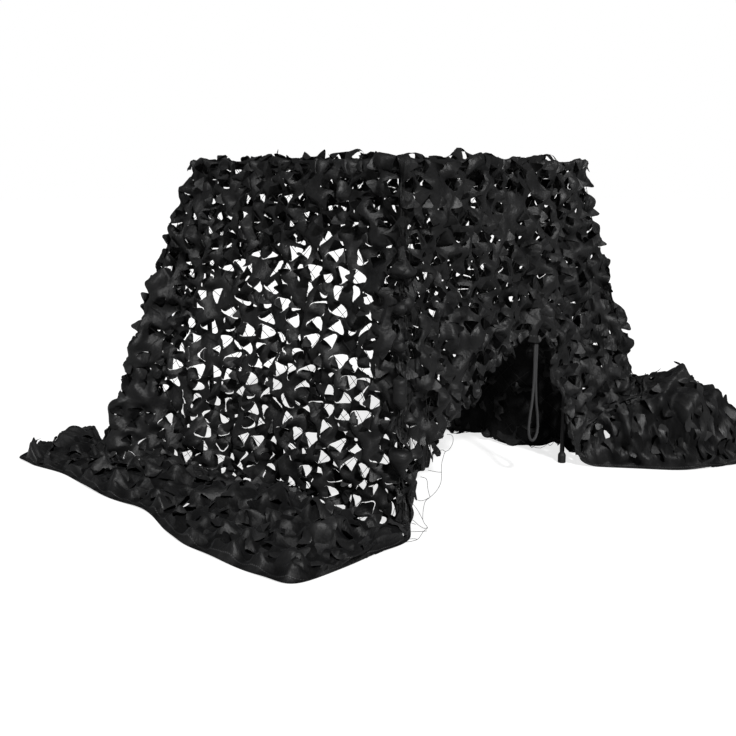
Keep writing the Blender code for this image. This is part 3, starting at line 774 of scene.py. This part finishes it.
def lay_cloth(mesh, surface, room, landed, hem_raised, leaves, marks):
    """Moves a cut flat mesh into its hanging shape, with its leaves bent out."""
    rim_distance = top_room if surface is top_point else (lambda across, down: down)
    flat = np.empty(len(mesh.vertices) * 3, np.float32)
    mesh.vertices.foreach_get("co", flat)
    flat = flat.reshape(-1, 3).astype(float)
    at_across, at_down = flat[:, 0], flat[:, 1]
    number = read_points(mesh, "leaf_number")
    grid_point = read_points(mesh, "grid_point")
    point, way_across, way_down, outward = with_tangents(surface, at_across, at_down)
    to_hem = room(at_across, at_down)

    # The strips between the leaves.
    moved = marks["shift"].reshape(-1, 3)[grid_point]
    raised = hem_raised(at_across)
    calm = (smooth_step(rim_distance(at_across, at_down) / RIM_FADE)
            * np.maximum(smooth_step((to_hem - HEM_FLAT) / HEM_FADE), raised))
    wave = relief(point, landed(at_across, at_down), to_hem)
    frayed = raised * np.exp(-(to_hem / FRAY_REACH) ** 2)
    ragged = FRAY_SIZE * frayed * (uneven_wave(at_across, *RAGGED) - 0.4)
    flutter = FRAY_SIZE * frayed * uneven_wave(at_across, *FLUTTER)
    laid = (point + way_across * (moved[:, :1] * calm[:, None])
            + way_down * (moved[:, 1] * calm + ragged)[:, None]
            + outward * ((moved[:, 2] + wave) * calm + flutter)[:, None])

    # Each leaf's own plane, at its middle.
    leaf_across, leaf_down = leaf_values(leaves, "across"), leaf_values(leaves, "down")
    middle, m_across, m_down, m_out = with_tangents(surface, leaf_across, leaf_down)
    m_down = unit(np.cross(m_out, m_across))
    on_floor = landed(leaf_across, leaf_down)
    middle = middle + m_out * relief(middle, on_floor, room(leaf_across, leaf_down))[:, None]
    upward = (on_floor > 0.2) | (middle[:, 2] > 0.97 * FRAME_HEIGHT)
    side = np.where(upward, 1.0, leaf_values(leaves, "side"))
    lift = leaf_values(leaves, "lift") * leaf_values(leaves, "pull")
    curls = leaf_values(leaves, "curl") * (0.25 + 0.75 * leaf_values(leaves, "pull"))

    # The tongues, from their hinges outwards.
    loose = number >= 0
    which = number[loose]
    x, y = marks["local"].reshape(-1, 2)[grid_point[loose]].T
    turn, size = leaf_values(leaves, "turn")[which], leaf_values(leaves, "size")[which]
    hinge = -HINGE_AT * size
    along = np.maximum(x * np.cos(turn) + y * np.sin(turn) - hinge, 0.0)
    sideways = y * np.cos(turn) - x * np.sin(turn)
    steps = (np.arange(20) + 0.5) / 20
    travelled = along[:, None] * steps
    slope = (lift[which][:, None] * smooth_step(travelled / HINGE_BEND)
             + curls[which][:, None] * travelled / (2.0 * size[:, None]))
    forward = along * np.cos(slope).mean(axis=1)
    rise = along * np.sin(slope).mean(axis=1)
    roll = leaf_values(leaves, "twist")[which] * along
    cup = leaf_values(leaves, "cup")[which]
    rise = rise + sideways * np.sin(roll) + cup * sideways ** 2 * smooth_step(along / 0.015)
    sideways = sideways * np.cos(roll)
    ahead = m_across[which] * np.cos(turn)[:, None] + m_down[which] * np.sin(turn)[:, None]
    beside = m_down[which] * np.cos(turn)[:, None] - m_across[which] * np.sin(turn)[:, None]
    bent = (middle[which] + ahead * (hinge + forward)[:, None] + beside * sideways[:, None]
            + m_out[which] * (rise * side[which])[:, None])
    share = smooth_step(along / HINGE_BEND)[:, None]
    laid[loose] = laid[loose] * (1 - share) + bent * share

    laid[:, 2] = np.maximum(laid[:, 2], CLOTH_FLOOR * 0.6)
    laid += MIDDLE
    mesh.vertices.foreach_set("co", laid.astype(np.float32).ravel())
    # Painted shade: on the floor the strips are darker where their relief is low, in the creases where no
    # light gets in; the leaves keep their own random tone.
    crease_shade = landed(at_across, at_down) * (1 - smooth_step((wave - HOLLOW_FROM) / HOLLOW_RISE))
    tone = 0.5 * (1 - 0.8 * crease_shade)
    tone[loose] = leaf_values(leaves, "tone")[which]
    for name, values in (("tone_and_painted_shade", tone), ("to_hem", to_hem)):
        attribute = mesh.attributes.new(name, "FLOAT", "POINT")
        attribute.data.foreach_set("value", values.astype(np.float32))
    uv = mesh.uv_layers.new(name="cloth")
    corners = np.empty(len(mesh.loops), np.int32)
    mesh.loops.foreach_get("vertex_index", corners)
    uv.data.foreach_set("uv", flat[corners, :2].astype(np.float32).ravel())
    for extra in ("grid_point", "leaf_number"):
        mesh.attributes.remove(mesh.attributes[extra])
    mesh.shade_smooth()
    mesh.update()


# %% [markdown]
# The fall of cloth is one grid that closes on itself at the back. It is made in three pieces,
# so that each stays light. The top is a fourth.

# %% Mark the leaves of the fall
FIRST_ROW = 0.027            # drop of the first row
RAISED_INSET = 0.019         # of the leaves along a raised hem, and their size
RAISED_LEAF = 0.8
HEM_INSETS = (0.044, 0.090)  # of the rows along any hem
HEM_STEP = 0.010
DARTS = 4500                 # small leaves tried in the room that the rows leave
candidates = []
for row, drop_here in enumerate(np.arange(FIRST_ROW, row_down[-1], LEAF_ROW_PITCH)):
    candidates += row_of_leaves(skirt_surface, column_across, drop_here, row % 2)
along_hem = np.arange(HEM_STEP, GIRTH, HEM_STEP)
for across_here in along_hem:
    if skirt_hem_band(across_here) < 0.01:
        candidates.append(new_leaf(across_here, float(hem_length(across_here)) - RAISED_INSET, RAISED_LEAF))
for inset in HEM_INSETS:
    for across_here in along_hem:
        size_here = dice.uniform(0.8, 1.0)
        candidates.append(new_leaf(across_here, float(hem_length(across_here)) - inset, size_here))
darts = np.stack([dice.uniform(0, GIRTH, DARTS), dice.uniform(0.03, row_down[-1], DARTS)], axis=-1)
candidates += [new_leaf(across_here, down_here, dice.uniform(0.62, 0.9)) for across_here, down_here in darts]
skirt_leaves, skirt_marks = mark_leaves(skirt_surface, skirt_room, skirt_pull, column_across, row_down,
                                        candidates, skirt_hem_band)
hem_drop = hem_length(skirt_marks["moved"][..., 0])
beyond = skirt_marks["moved"][..., 1] > hem_drop - 0.3 * CLOTH_CELL
skirt_marks["moved"][..., 1] = np.where(beyond, hem_drop, skirt_marks["moved"][..., 1])
skirt_keep = ~(beyond[1:, 1:] & beyond[:-1, 1:] & beyond[1:, :-1] & beyond[:-1, :-1])
print("leaves round the fall", len(skirt_leaves), "of", len(candidates))

# %% Make the cloth
PARTS = (("net_back", FIRST_PLACE), ("net_right", 5.05), ("net_left", 7.9))
lines = [int(np.searchsorted(place_of(column_across), place)) for _, place in PARTS]
lines.append(len(column_across) - 1)
net_pieces = []
for (name, _), first, last in zip(PARTS, lines, lines[1:]):
    mesh = cut_cloth(name, skirt_marks, first, last, skirt_keep)
    lay_cloth(mesh, skirt_surface, skirt_room, skirt_landed, skirt_hem_raised, skirt_leaves, skirt_marks)
    net_pieces.append(add_object(name, mesh))

TOP_INSETS = (0.026, 0.070)  # from the rim to the top's outer leaves, and to its first row
TOP_STEPS = 14               # of the outer leaves along a side
TOP_ROWS = 13
TOP_DARTS = 600
top_lines = np.linspace(-RIM, RIM, int(round(2 * RIM / CLOTH_CELL)) + 1)
candidates = []
inset = RIM - TOP_INSETS[0]
for along_here in np.arange(-inset, inset + 1e-6, 2 * inset / TOP_STEPS):
    for u, v, turn in ((along_here, -inset, 0.5), (along_here, inset, -0.5), (-inset, along_here, 0.0),
                       (inset, along_here, 1.0)):
        candidates.append(new_leaf(u, v))
        candidates[-1].update(turn=turn * math.pi + dice.normal(0, 0.2), curl=dice.uniform(0.0, 0.5),
                              lift=math.radians(dice.uniform(160, 215)) / TOP_PULL, side=1.0)
for row, v_here in enumerate(np.linspace(-RIM + TOP_INSETS[1], RIM - TOP_INSETS[1], TOP_ROWS)):
    candidates += row_of_leaves(top_point, top_lines, v_here, row % 2)
candidates += [new_leaf(u, v, 0.8) for u, v in dice.uniform(-RIM, RIM, (TOP_DARTS, 2))]
top_leaves, top_marks = mark_leaves(top_point, top_room, top_pull, top_lines, top_lines,
                                    candidates, top_hem_band)
top_mesh = cut_cloth("net_top", top_marks, 0, len(top_lines) - 1, np.ones_like(top_marks["cell"], bool))
lay_cloth(top_mesh, top_point, top_room, nowhere, nowhere, top_leaves, top_marks)
net_top = add_object("net_top", top_mesh)
net_pieces.append(net_top)
for piece in net_pieces:
    area = sum(face.area for face in piece.data.polygons)
    print(piece.name, 2 * len(piece.data.polygons), "triangles,", round(area, 3), "m2")

# %% [markdown]
# Where the net lies rucked on the floor, a second layer of the cloth lies underneath and shows through the
# gaps, and behind the opening it reaches up the inside of the far wall. It is near black, darker than the
# cloth
# itself: painted shade in the gaps and inside the wall. It follows the same surface a little lower, on a
# coarser grid, with no leaves.

# %% Cloth underneath, near black as painted shade
UNDER_CELL = 0.012
UNDER_BELOW = 0.0065
UNDER_FROM_HEM = 0.012
UNDER_FROM_FOOT = 0.35        # share of the landing at which it begins
UNDER_FIRST_DROP = 0.30       # no part of it is nearer to the rim
# Painted shade: the under layer's tone is near black, darker than the cloth itself, so the gaps over it and
# the wall behind the opening read as shade.
UNDER_SHADE_TONE = 0.05
WALL_HEIGHT = 0.40            # how far up the dark under layer reaches inside, behind the opening


def tucked_cloth(name, first_place, last_place, top_height=0.0):
    """The plain under layer of the cloth between two places, on the floor or up to a height."""
    across = np.arange(*np.interp((first_place, last_place), measured_places, girth), UNDER_CELL)
    down = np.arange(UNDER_FIRST_DROP, row_down[-1], UNDER_CELL)
    at_across, at_down = np.meshgrid(across, down)
    room = skirt_room(at_across, at_down)
    clipped = np.minimum(at_down, at_down + room - UNDER_FROM_HEM)
    point, _, _, outward = with_tangents(skirt_surface, at_across, clipped)
    landed = skirt_landed(at_across, clipped)
    to_hem = skirt_room(at_across, clipped)
    calm = smooth_step((to_hem - HEM_FLAT) / HEM_FADE)
    height = relief(point, landed, to_hem) * calm - UNDER_BELOW
    laid = point + outward * height[..., None]
    laid[..., 2] = np.maximum(laid[..., 2], CLOTH_FLOOR * 0.5)
    on_floor = landed > UNDER_FROM_FOOT
    kept = (point[..., 2] < top_height) & ~on_floor if top_height else on_floor
    kept &= room > UNDER_FROM_HEM - UNDER_CELL
    faces_kept = kept[1:, 1:] & kept[:-1, 1:] & kept[1:, :-1] & kept[:-1, :-1]
    index = np.arange(at_across.size).reshape(at_across.shape)
    faces = np.stack([index[:-1, :-1], index[:-1, 1:], index[1:, 1:], index[1:, :-1]], axis=-1)[faces_kept]
    used, faces = np.unique(faces, return_inverse=True)
    faces = faces.reshape(-1, 4)
    mesh = bpy.data.meshes.new(name)
    mesh.from_pydata((laid.reshape(-1, 3)[used] + MIDDLE).tolist(), [], faces.tolist())
    flat = np.stack([at_across, clipped], axis=-1).reshape(-1, 2)[used]
    mesh.uv_layers.new(name="cloth").data.foreach_set("uv", flat[faces.ravel()].astype(np.float32).ravel())
    for kind, values in (("tone_and_painted_shade", np.full(len(used), UNDER_SHADE_TONE)), ("to_hem", np.ones(len(used)))):
        mesh.attributes.new(kind, "FLOAT", "POINT").data.foreach_set("value", values.astype(np.float32))
    mesh.shade_smooth()
    print(name, 2 * len(mesh.polygons), "triangles")
    return add_object(name, mesh)


tucked_pieces = [tucked_cloth("tucked_back", 2.6, 4.75), tucked_cloth("tucked_right", 4.75, 6.5),
                 tucked_cloth("tucked_front", 6.5, 8.6), tucked_cloth("tucked_left", 8.6, 10.4),
                 tucked_cloth("tucked_wall_shade", 4.45, 5.15, WALL_HEIGHT)]

# %% [markdown]
# ## The string net behind the leaves
# The cloth is sewn to a net of thin string, which keeps it from stretching. It is a regular diamond
# net on the flat cloth, so it is worked out there and laid with the same fall, just inside. Each
# string goes up and down from row to row. Beside the opening some strings have come loose from the
# hem and hang down to the floor.

# %% Flat layout of the whole cloth
STRING_ROW = 0.034
STRING_STEP = 0.060
STRING_RADIUS = 0.00075
STRING_INSIDE = 0.0065
STRING_FROM_HEM = 0.012
STRING_OFF_RAIL = (0.002, 0.016)     # how far from the rail it stops, inside the frame and outside
LOOSE_RADIUS = 0.00055
LOOSE_STEP = 0.006
# Strings that have come out of the hem beside the opening, each as its bends in millimetres from the
# frame's middle.
LOOSE_STRINGS = (
    ((-240, -395, 206), (-222, -395, 200), (-217, -395, 189), (-221, -395, 177), (-234, -395, 167),
     (-246, -395, 166), (-252, -395, 155), (-258, -395, 139), (-258, -395, 120), (-259, -395, 98),
     (-273, -395, 81), (-298, -395, 70), (-314, -395, 65), (-321, -395, 46), (-322, -395, 23),
     (-314, -395, 10), (-307, -397, 1), (-331, -405, 1), (-357, -418, 1), (-378, -427, 1),
     (-397, -424, 1), (-411, -416, 1), (-423, -409, 1)),
    ((-272, -390, 169), (-257, -395, 173), (-246, -395, 166)),
    ((-299, -390, 133), (-276, -395, 125), (-258, -395, 120)),
    ((-326, -390, 124), (-311, -395, 116), (-306, -395, 93), (-298, -395, 70)),
    ((-370, -390, 92), (-348, -395, 78), (-325, -395, 69), (-298, -395, 70)),
    ((-370, -390, 85), (-345, -395, 56), (-322, -395, 23)),
    ((-383, -390, 44), (-359, -395, 33), (-334, -395, 12), (-316, -395, 1), (-307, -397, 1)),
    ((-390, -390, 34), (-366, -395, 28), (-347, -395, 19)),
    ((-393, -390, 15), (-359, -395, 6), (-337, -401, 1), (-324, -409, 1)),
    ((-407, -396, 1), (-393, -410, 1), (-380, -418, 1), (-378, -427, 1)),
)


def place_and_drop(u, v):
    """Place round the rim and drop from it of each point of the flat cloth."""
    beyond_u = np.maximum(np.abs(u) - RIM, 0.0)
    beyond_v = np.maximum(np.abs(v) - RIM, 0.0)
    along_u = (np.clip(u, -RIM, RIM) + RIM) / (2 * RIM)
    along_v = (np.clip(v, -RIM, RIM) + RIM) / (2 * RIM)
    turn = np.arctan2(beyond_v, beyond_u) / (math.pi / 2)
    side_place = np.select(
        [(u < -RIM) & (beyond_v == 0), (v > RIM) & (beyond_u == 0), (u > RIM) & (beyond_v == 0)],
        [along_v, 2 + along_u, 4 + 1 - along_v], 6 + 1 - along_u)
    fan_place = np.select([(u < 0) & (v > 0), (u > 0) & (v > 0), (u > 0) & (v < 0)],
                          [1 + turn, 3 + 1 - turn, 5 + turn], 7 + 1 - turn)
    in_fan = (beyond_u > 0) & (beyond_v > 0)
    return np.where(in_fan, fan_place, side_place), np.hypot(beyond_u, beyond_v)


def string_surface(flat):
    """The string net's point for each point of the flat cloth, just inside the leaves."""
    place, drop = place_and_drop(flat[:, 0], flat[:, 1])
    _, _, _, out = with_tangents(drape, place, np.maximum(drop, 1e-4))
    hanging = drape(place, drop) - out * STRING_INSIDE
    top = top_point(flat[:, 0], flat[:, 1]) - np.array([0, 0, STRING_INSIDE])
    on_top = (drop <= 0)[:, None]
    point = np.where(on_top, top, hanging)
    point[:, 2] = np.maximum(point[:, 2], STRING_RADIUS + 0.0004)
    return point


# %% Lines of string
def string_lines():
    """Zigzag lines over the flat cloth, cut into runs that stay on it."""
    reach = float(SOFTENED["length"][1].max()) + RIM
    rows = np.arange(-reach, reach, STRING_ROW)
    runs = []
    for row, v in enumerate(rows):
        knots = np.arange(-reach, reach, STRING_STEP / 2)
        heights = v + STRING_ROW * ((np.arange(len(knots)) + row) % 2)
        steps = np.arange(0, len(knots) - 1 + 1e-9, 0.25)
        flat = np.stack([np.interp(steps, np.arange(len(knots)), knots),
                         np.interp(steps, np.arange(len(knots)), heights)], axis=-1)
        place, drop = place_and_drop(flat[:, 0], flat[:, 1])
        inside = drop < at_place("length", place) - STRING_FROM_HEM
        over_rail = np.maximum(np.abs(flat[:, 0]), np.abs(flat[:, 1]))
        inside &= (over_rail < RAIL_INNER - STRING_OFF_RAIL[0]) | (over_rail > RIM + STRING_OFF_RAIL[1])
        edges = np.flatnonzero(np.diff(inside.astype(int)))
        for run in np.split(np.arange(len(flat)), edges + 1):
            if inside[run[0]] and len(run) >= 3:
                runs.append(flat[run])
    return runs


flat_runs = string_lines()
string_points = string_surface(np.concatenate(flat_runs)) + MIDDLE
cuts_between = np.cumsum([len(run) for run in flat_runs])[:-1]
string_mesh = tubes("string_net", np.split(string_points, cuts_between), STRING_RADIUS, 4)
string_net = add_object("string_net", string_mesh)
loose_runs = [smooth_route(np.array(bends) / 1000, LOOSE_STEP)[0] + MIDDLE for bends in LOOSE_STRINGS]
loose_strings = add_object("loose_strings", tubes("loose_strings", loose_runs, LOOSE_RADIUS, 5))
print("string net", len(flat_runs), "strings,", 2 * len(string_mesh.polygons), "triangles")


# %% [markdown]
# ## Materials
# Everything is black or near it, so what tells the parts apart is how they shine. The cloth is a
# close weave with a soft sheen, each leaf a little lighter or darker. The cord is a braid, the tube
# has thin paint and the feet are dull rubber.

# %% Node helpers
def new_material(name):
    """A material with its node tree and its shader."""
    made = bpy.data.materials.new(name)
    made.use_nodes = True
    return made, made.node_tree, made.node_tree.nodes["Principled BSDF"]


def feed(tree, node, values):
    """Gives a node's inputs their values, or the sockets that drive them."""
    for slot, value in values.items():
        if isinstance(value, bpy.types.NodeSocket):
            tree.links.new(value, node.inputs[slot])
        else:
            node.inputs[slot].default_value = value


def add_node(tree, kind, output, values, **settings):
    """One output of a new node with its inputs fed."""
    node = tree.nodes.new("ShaderNode" + kind)
    for name, value in settings.items():
        setattr(node, name, value)
    feed(tree, node, values)
    return node.outputs[output]


def math_node(tree, operation, *values):
    """A math node on values or sockets."""
    return add_node(tree, "Math", 0, dict(enumerate(values)), operation=operation)


def wave_node(tree, along, pitch):
    """A sine wave of a pitch."""
    return math_node(tree, "SINE", math_node(tree, "MULTIPLY", along, 2 * math.pi / pitch))


def noise_node(tree, vector, scale, detail=3.0, roughness=0.55):
    """A noise texture's value."""
    values = {"Vector": vector, "Scale": scale, "Detail": detail, "Roughness": roughness}
    return add_node(tree, "TexNoise", "Fac", values)


def mix_colours(tree, share, first, second):
    """A blend of two colours, either of which may be a socket."""
    return add_node(tree, "Mix", 2, {0: share, 6: first, 7: second}, data_type="RGBA", clamp_factor=True)


def bump_node(tree, height, strength, distance, **before):
    """A bump from a height, on top of another one where there is one."""
    values = {"Height": height, "Strength": strength, "Distance": distance, **before}
    return add_node(tree, "Bump", "Normal", values)


def uv_nodes(tree):
    """The UV coordinates, whole and as two numbers."""
    uv = add_node(tree, "TexCoord", "UV", {})
    split = tree.nodes.new("ShaderNodeSeparateXYZ")
    feed(tree, split, {0: uv})
    return uv, split.outputs[0], split.outputs[1]


# %% Woven cloth
CLOTH_DARK = (0.0005, 0.0005, 0.0006, 1)
CLOTH_LIGHT = (0.0340, 0.0340, 0.0349, 1)
THREAD_COLOUR = (0.060, 0.060, 0.061, 1)
THREAD = 0.0011              # pitch of the weave
STITCH = 0.006
STITCH_FROM_HEM = 0.016
fabric, tree, shader = new_material("woven_cloth")
flat_cloth, along_warp, along_weft = uv_nodes(tree)
to_hem = add_node(tree, "Attribute", "Fac", {}, attribute_name="to_hem")
tone_and_painted_shade = add_node(tree, "Attribute", "Fac", {}, attribute_name="tone_and_painted_shade")

# Colour: each leaf its own tone, cloudy wear, painted shade in the creases of the cloth on the floor and a
# near-black under layer as painted shade, and a line of stitches along the hem. The same value also sets how
# much each part shines.
cloudy = noise_node(tree, flat_cloth, 11.0)
faded = noise_node(tree, flat_cloth, 70.0)
shade = math_node(tree, "MULTIPLY", cloudy, tone_and_painted_shade)
shade = math_node(tree, "MULTIPLY_ADD", faded, 0.30, shade)
on_line = math_node(tree, "COMPARE", to_hem, STITCH_FROM_HEM, 0.0009)
dash = wave_node(tree, along_warp, STITCH)
stitch = math_node(tree, "MULTIPLY", on_line, math_node(tree, "GREATER_THAN", dash, -0.3))
cloth_colour = mix_colours(tree, shade, CLOTH_DARK, CLOTH_LIGHT)

# Relief: creases first, then the stitches and the weave on them.
creases = noise_node(tree, flat_cloth, 38.0, 4.0, 0.6)
weave = math_node(tree, "MULTIPLY", wave_node(tree, along_warp, THREAD), wave_node(tree, along_weft, THREAD))
creased = bump_node(tree, creases, 0.9, 0.0050)
stitched = bump_node(tree, stitch, 0.5, 0.0006, Normal=creased)
feed(tree, shader, {
    "Base Color": mix_colours(tree, stitch, cloth_colour, THREAD_COLOUR),
    "Normal": bump_node(tree, weave, 0.25, 0.0002, Normal=stitched),
    "Roughness": 0.48, "Specular IOR Level": math_node(tree, "MULTIPLY_ADD", tone_and_painted_shade, 0.56, 0.07),
    "Sheen Weight": 0.03, "Sheen Roughness": 0.45, "Sheen Tint": (0.8, 0.82, 0.85, 1)})

# %% String, cord, tube and rubber
string_look, tree, shader = new_material("black_string")
feed(tree, shader, {"Base Color": (0.008, 0.008, 0.008, 1), "Roughness": 0.7})

BRAID_PITCH = 0.0060
BRAID_STRANDS = 4
cord_look, tree, shader = new_material("braided_cord")
_, along_cord, around_cord = uv_nodes(tree)
along = math_node(tree, "MULTIPLY", along_cord, 2 * math.pi / BRAID_PITCH)
around = math_node(tree, "MULTIPLY", around_cord, 2 * math.pi * BRAID_STRANDS)
one_way = math_node(tree, "SINE", math_node(tree, "ADD", along, around))
other_way = math_node(tree, "SINE", math_node(tree, "SUBTRACT", along, around))
braid = math_node(tree, "MULTIPLY_ADD", math_node(tree, "MULTIPLY", one_way, other_way), 0.5, 0.5)
# Painted shade: the cord's colour follows the braid's relief, darker in its grooves and lighter on its
# ridges.
feed(tree, shader, {
    "Base Color": mix_colours(tree, braid, (0.020, 0.020, 0.021, 1), (0.075, 0.075, 0.077, 1)),
    "Normal": bump_node(tree, braid, 0.8, 0.0006), "Roughness": 0.75})

tube_look, tree, shader = new_material("painted_tube")
worn = noise_node(tree, add_node(tree, "TexCoord", "Object", {}), 60.0)
feed(tree, shader, {
    "Base Color": mix_colours(tree, worn, (0.012, 0.012, 0.013, 1), (0.030, 0.030, 0.031, 1)),
    "Roughness": math_node(tree, "MULTIPLY_ADD", worn, 0.25, 0.28)})

rubber_look, tree, shader = new_material("dull_rubber")
grain = noise_node(tree, add_node(tree, "TexCoord", "Object", {}), 400.0)
feed(tree, shader, {"Base Color": (0.010, 0.010, 0.010, 1), "Roughness": 0.65,
                    "Normal": bump_node(tree, grain, 0.3, 0.0005)})

for piece in net_pieces + tucked_pieces:
    piece.data.materials.append(fabric)
string_mesh.materials.append(string_look)
loose_strings.data.materials.append(string_look)
loop_mesh.materials.append(cord_look)
for name in LEGS + RAILS + CORNERS:
    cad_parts[name].material_slots[0].material = tube_look
for name in CAPS:
    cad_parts[name].material_slots[0].material = rubber_look
print("materials", [item.name for item in bpy.data.materials])


# %% [markdown]
# ## What each piece is
# Every piece rides on the one body. The pieces of cloth and string all stand for the solid cloth.
# Each sheet's flat size is worked out from the grid that it was cut from, and printed.

def flat_size(piece):
    """Width, length and area that a piece of cloth had before it was hung.

    The width and the drop are those of the grid that it was cut from. It was cut to shape, narrower
    toward the rim. Bending hardly stretches it, so it lay flat with the area that it has now, or
    with its whole grid's where that is less.
    """
    corners = np.empty(len(piece.data.loops) * 2, np.float32)
    piece.data.uv_layers["cloth"].data.foreach_get("uv", corners)
    spread = np.ptp(corners.reshape(-1, 2), axis=0)
    area = min(sum(face.area for face in piece.data.polygons), float(spread.prod()))
    return tuple(round(float(side), 3) for side in spread), round(area, 3)


for piece in net_pieces + tucked_pieces:
    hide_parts("net_cloth")
    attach(piece, "root")
for piece in (string_net, loose_strings):
    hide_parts("net_cloth")
    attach(piece, "root")

for piece in net_pieces + tucked_pieces:
    flat, area = flat_size(piece)
    print(piece.name, "lay flat as", flat, "m,", area, "m2")

# %% [markdown]
# ## Floor, light and finish
# A white studio: a floor that runs out of sight, an even white surround, and two broad lights that
# pick out the leaves from above and from the left.

# %% Studio
FLOOR_GLOW = 0.78            # what the floor gives the lens, and nothing else
SURROUND = 0.018             # the white surround as the net sees it; the lens sees it at 1
floor_mesh = bpy.data.meshes.new("studio_floor")
bm = bmesh.new()
bmesh.ops.create_grid(bm, x_segments=1, y_segments=1, size=30)
bm.to_mesh(floor_mesh)
bm.free()
studio_floor = add_object("studio_floor", floor_mesh)
studio_floor.location.z = -0.0002
floor_look, tree, shader = new_material("studio_white")
seen = add_node(tree, "LightPath", "Is Camera Ray", {})
feed(tree, shader, {"Base Color": (0.42, 0.42, 0.42, 1), "Roughness": 0.9, "Specular IOR Level": 0.0,
                    "Emission Color": (1, 1, 1, 1),
                    "Emission Strength": math_node(tree, "MULTIPLY", seen, FLOOR_GLOW)})
floor_mesh.materials.append(floor_look)

world = bpy.data.worlds.new("studio")
bpy.context.scene.world = world
world.use_nodes = True
tree = world.node_tree
seen = add_node(tree, "LightPath", "Is Camera Ray", {})
feed(tree, tree.nodes["Background"], {
    "Color": (1, 1, 1, 1), "Strength": math_node(tree, "MULTIPLY_ADD", seen, 1.0 - SURROUND, SURROUND)})


def soft_sun(name, heading, height, strength, spread):
    """A distant soft light. The heading is clockwise from the camera's own, from behind it."""
    data = bpy.data.lights.new(name, "SUN")
    data.energy = strength
    data.angle = math.radians(spread)
    made = add_object(name, data)
    angle, height = CAMERA_HEADING + math.radians(heading), math.radians(height)
    level = math.cos(height)
    away = Vector((-math.sin(angle) * level, -math.cos(angle) * level, math.sin(height)))
    made.rotation_euler = away.to_track_quat("Z", "Y").to_euler()


# Each light: its name, heading, height, strength and spread.
for light in (("key", -16, 40, 2.95, 4), ("fill", 60, 60, 0.25, 20)):
    soft_sun(*light)
bpy.context.scene.view_settings.view_transform = "Standard"
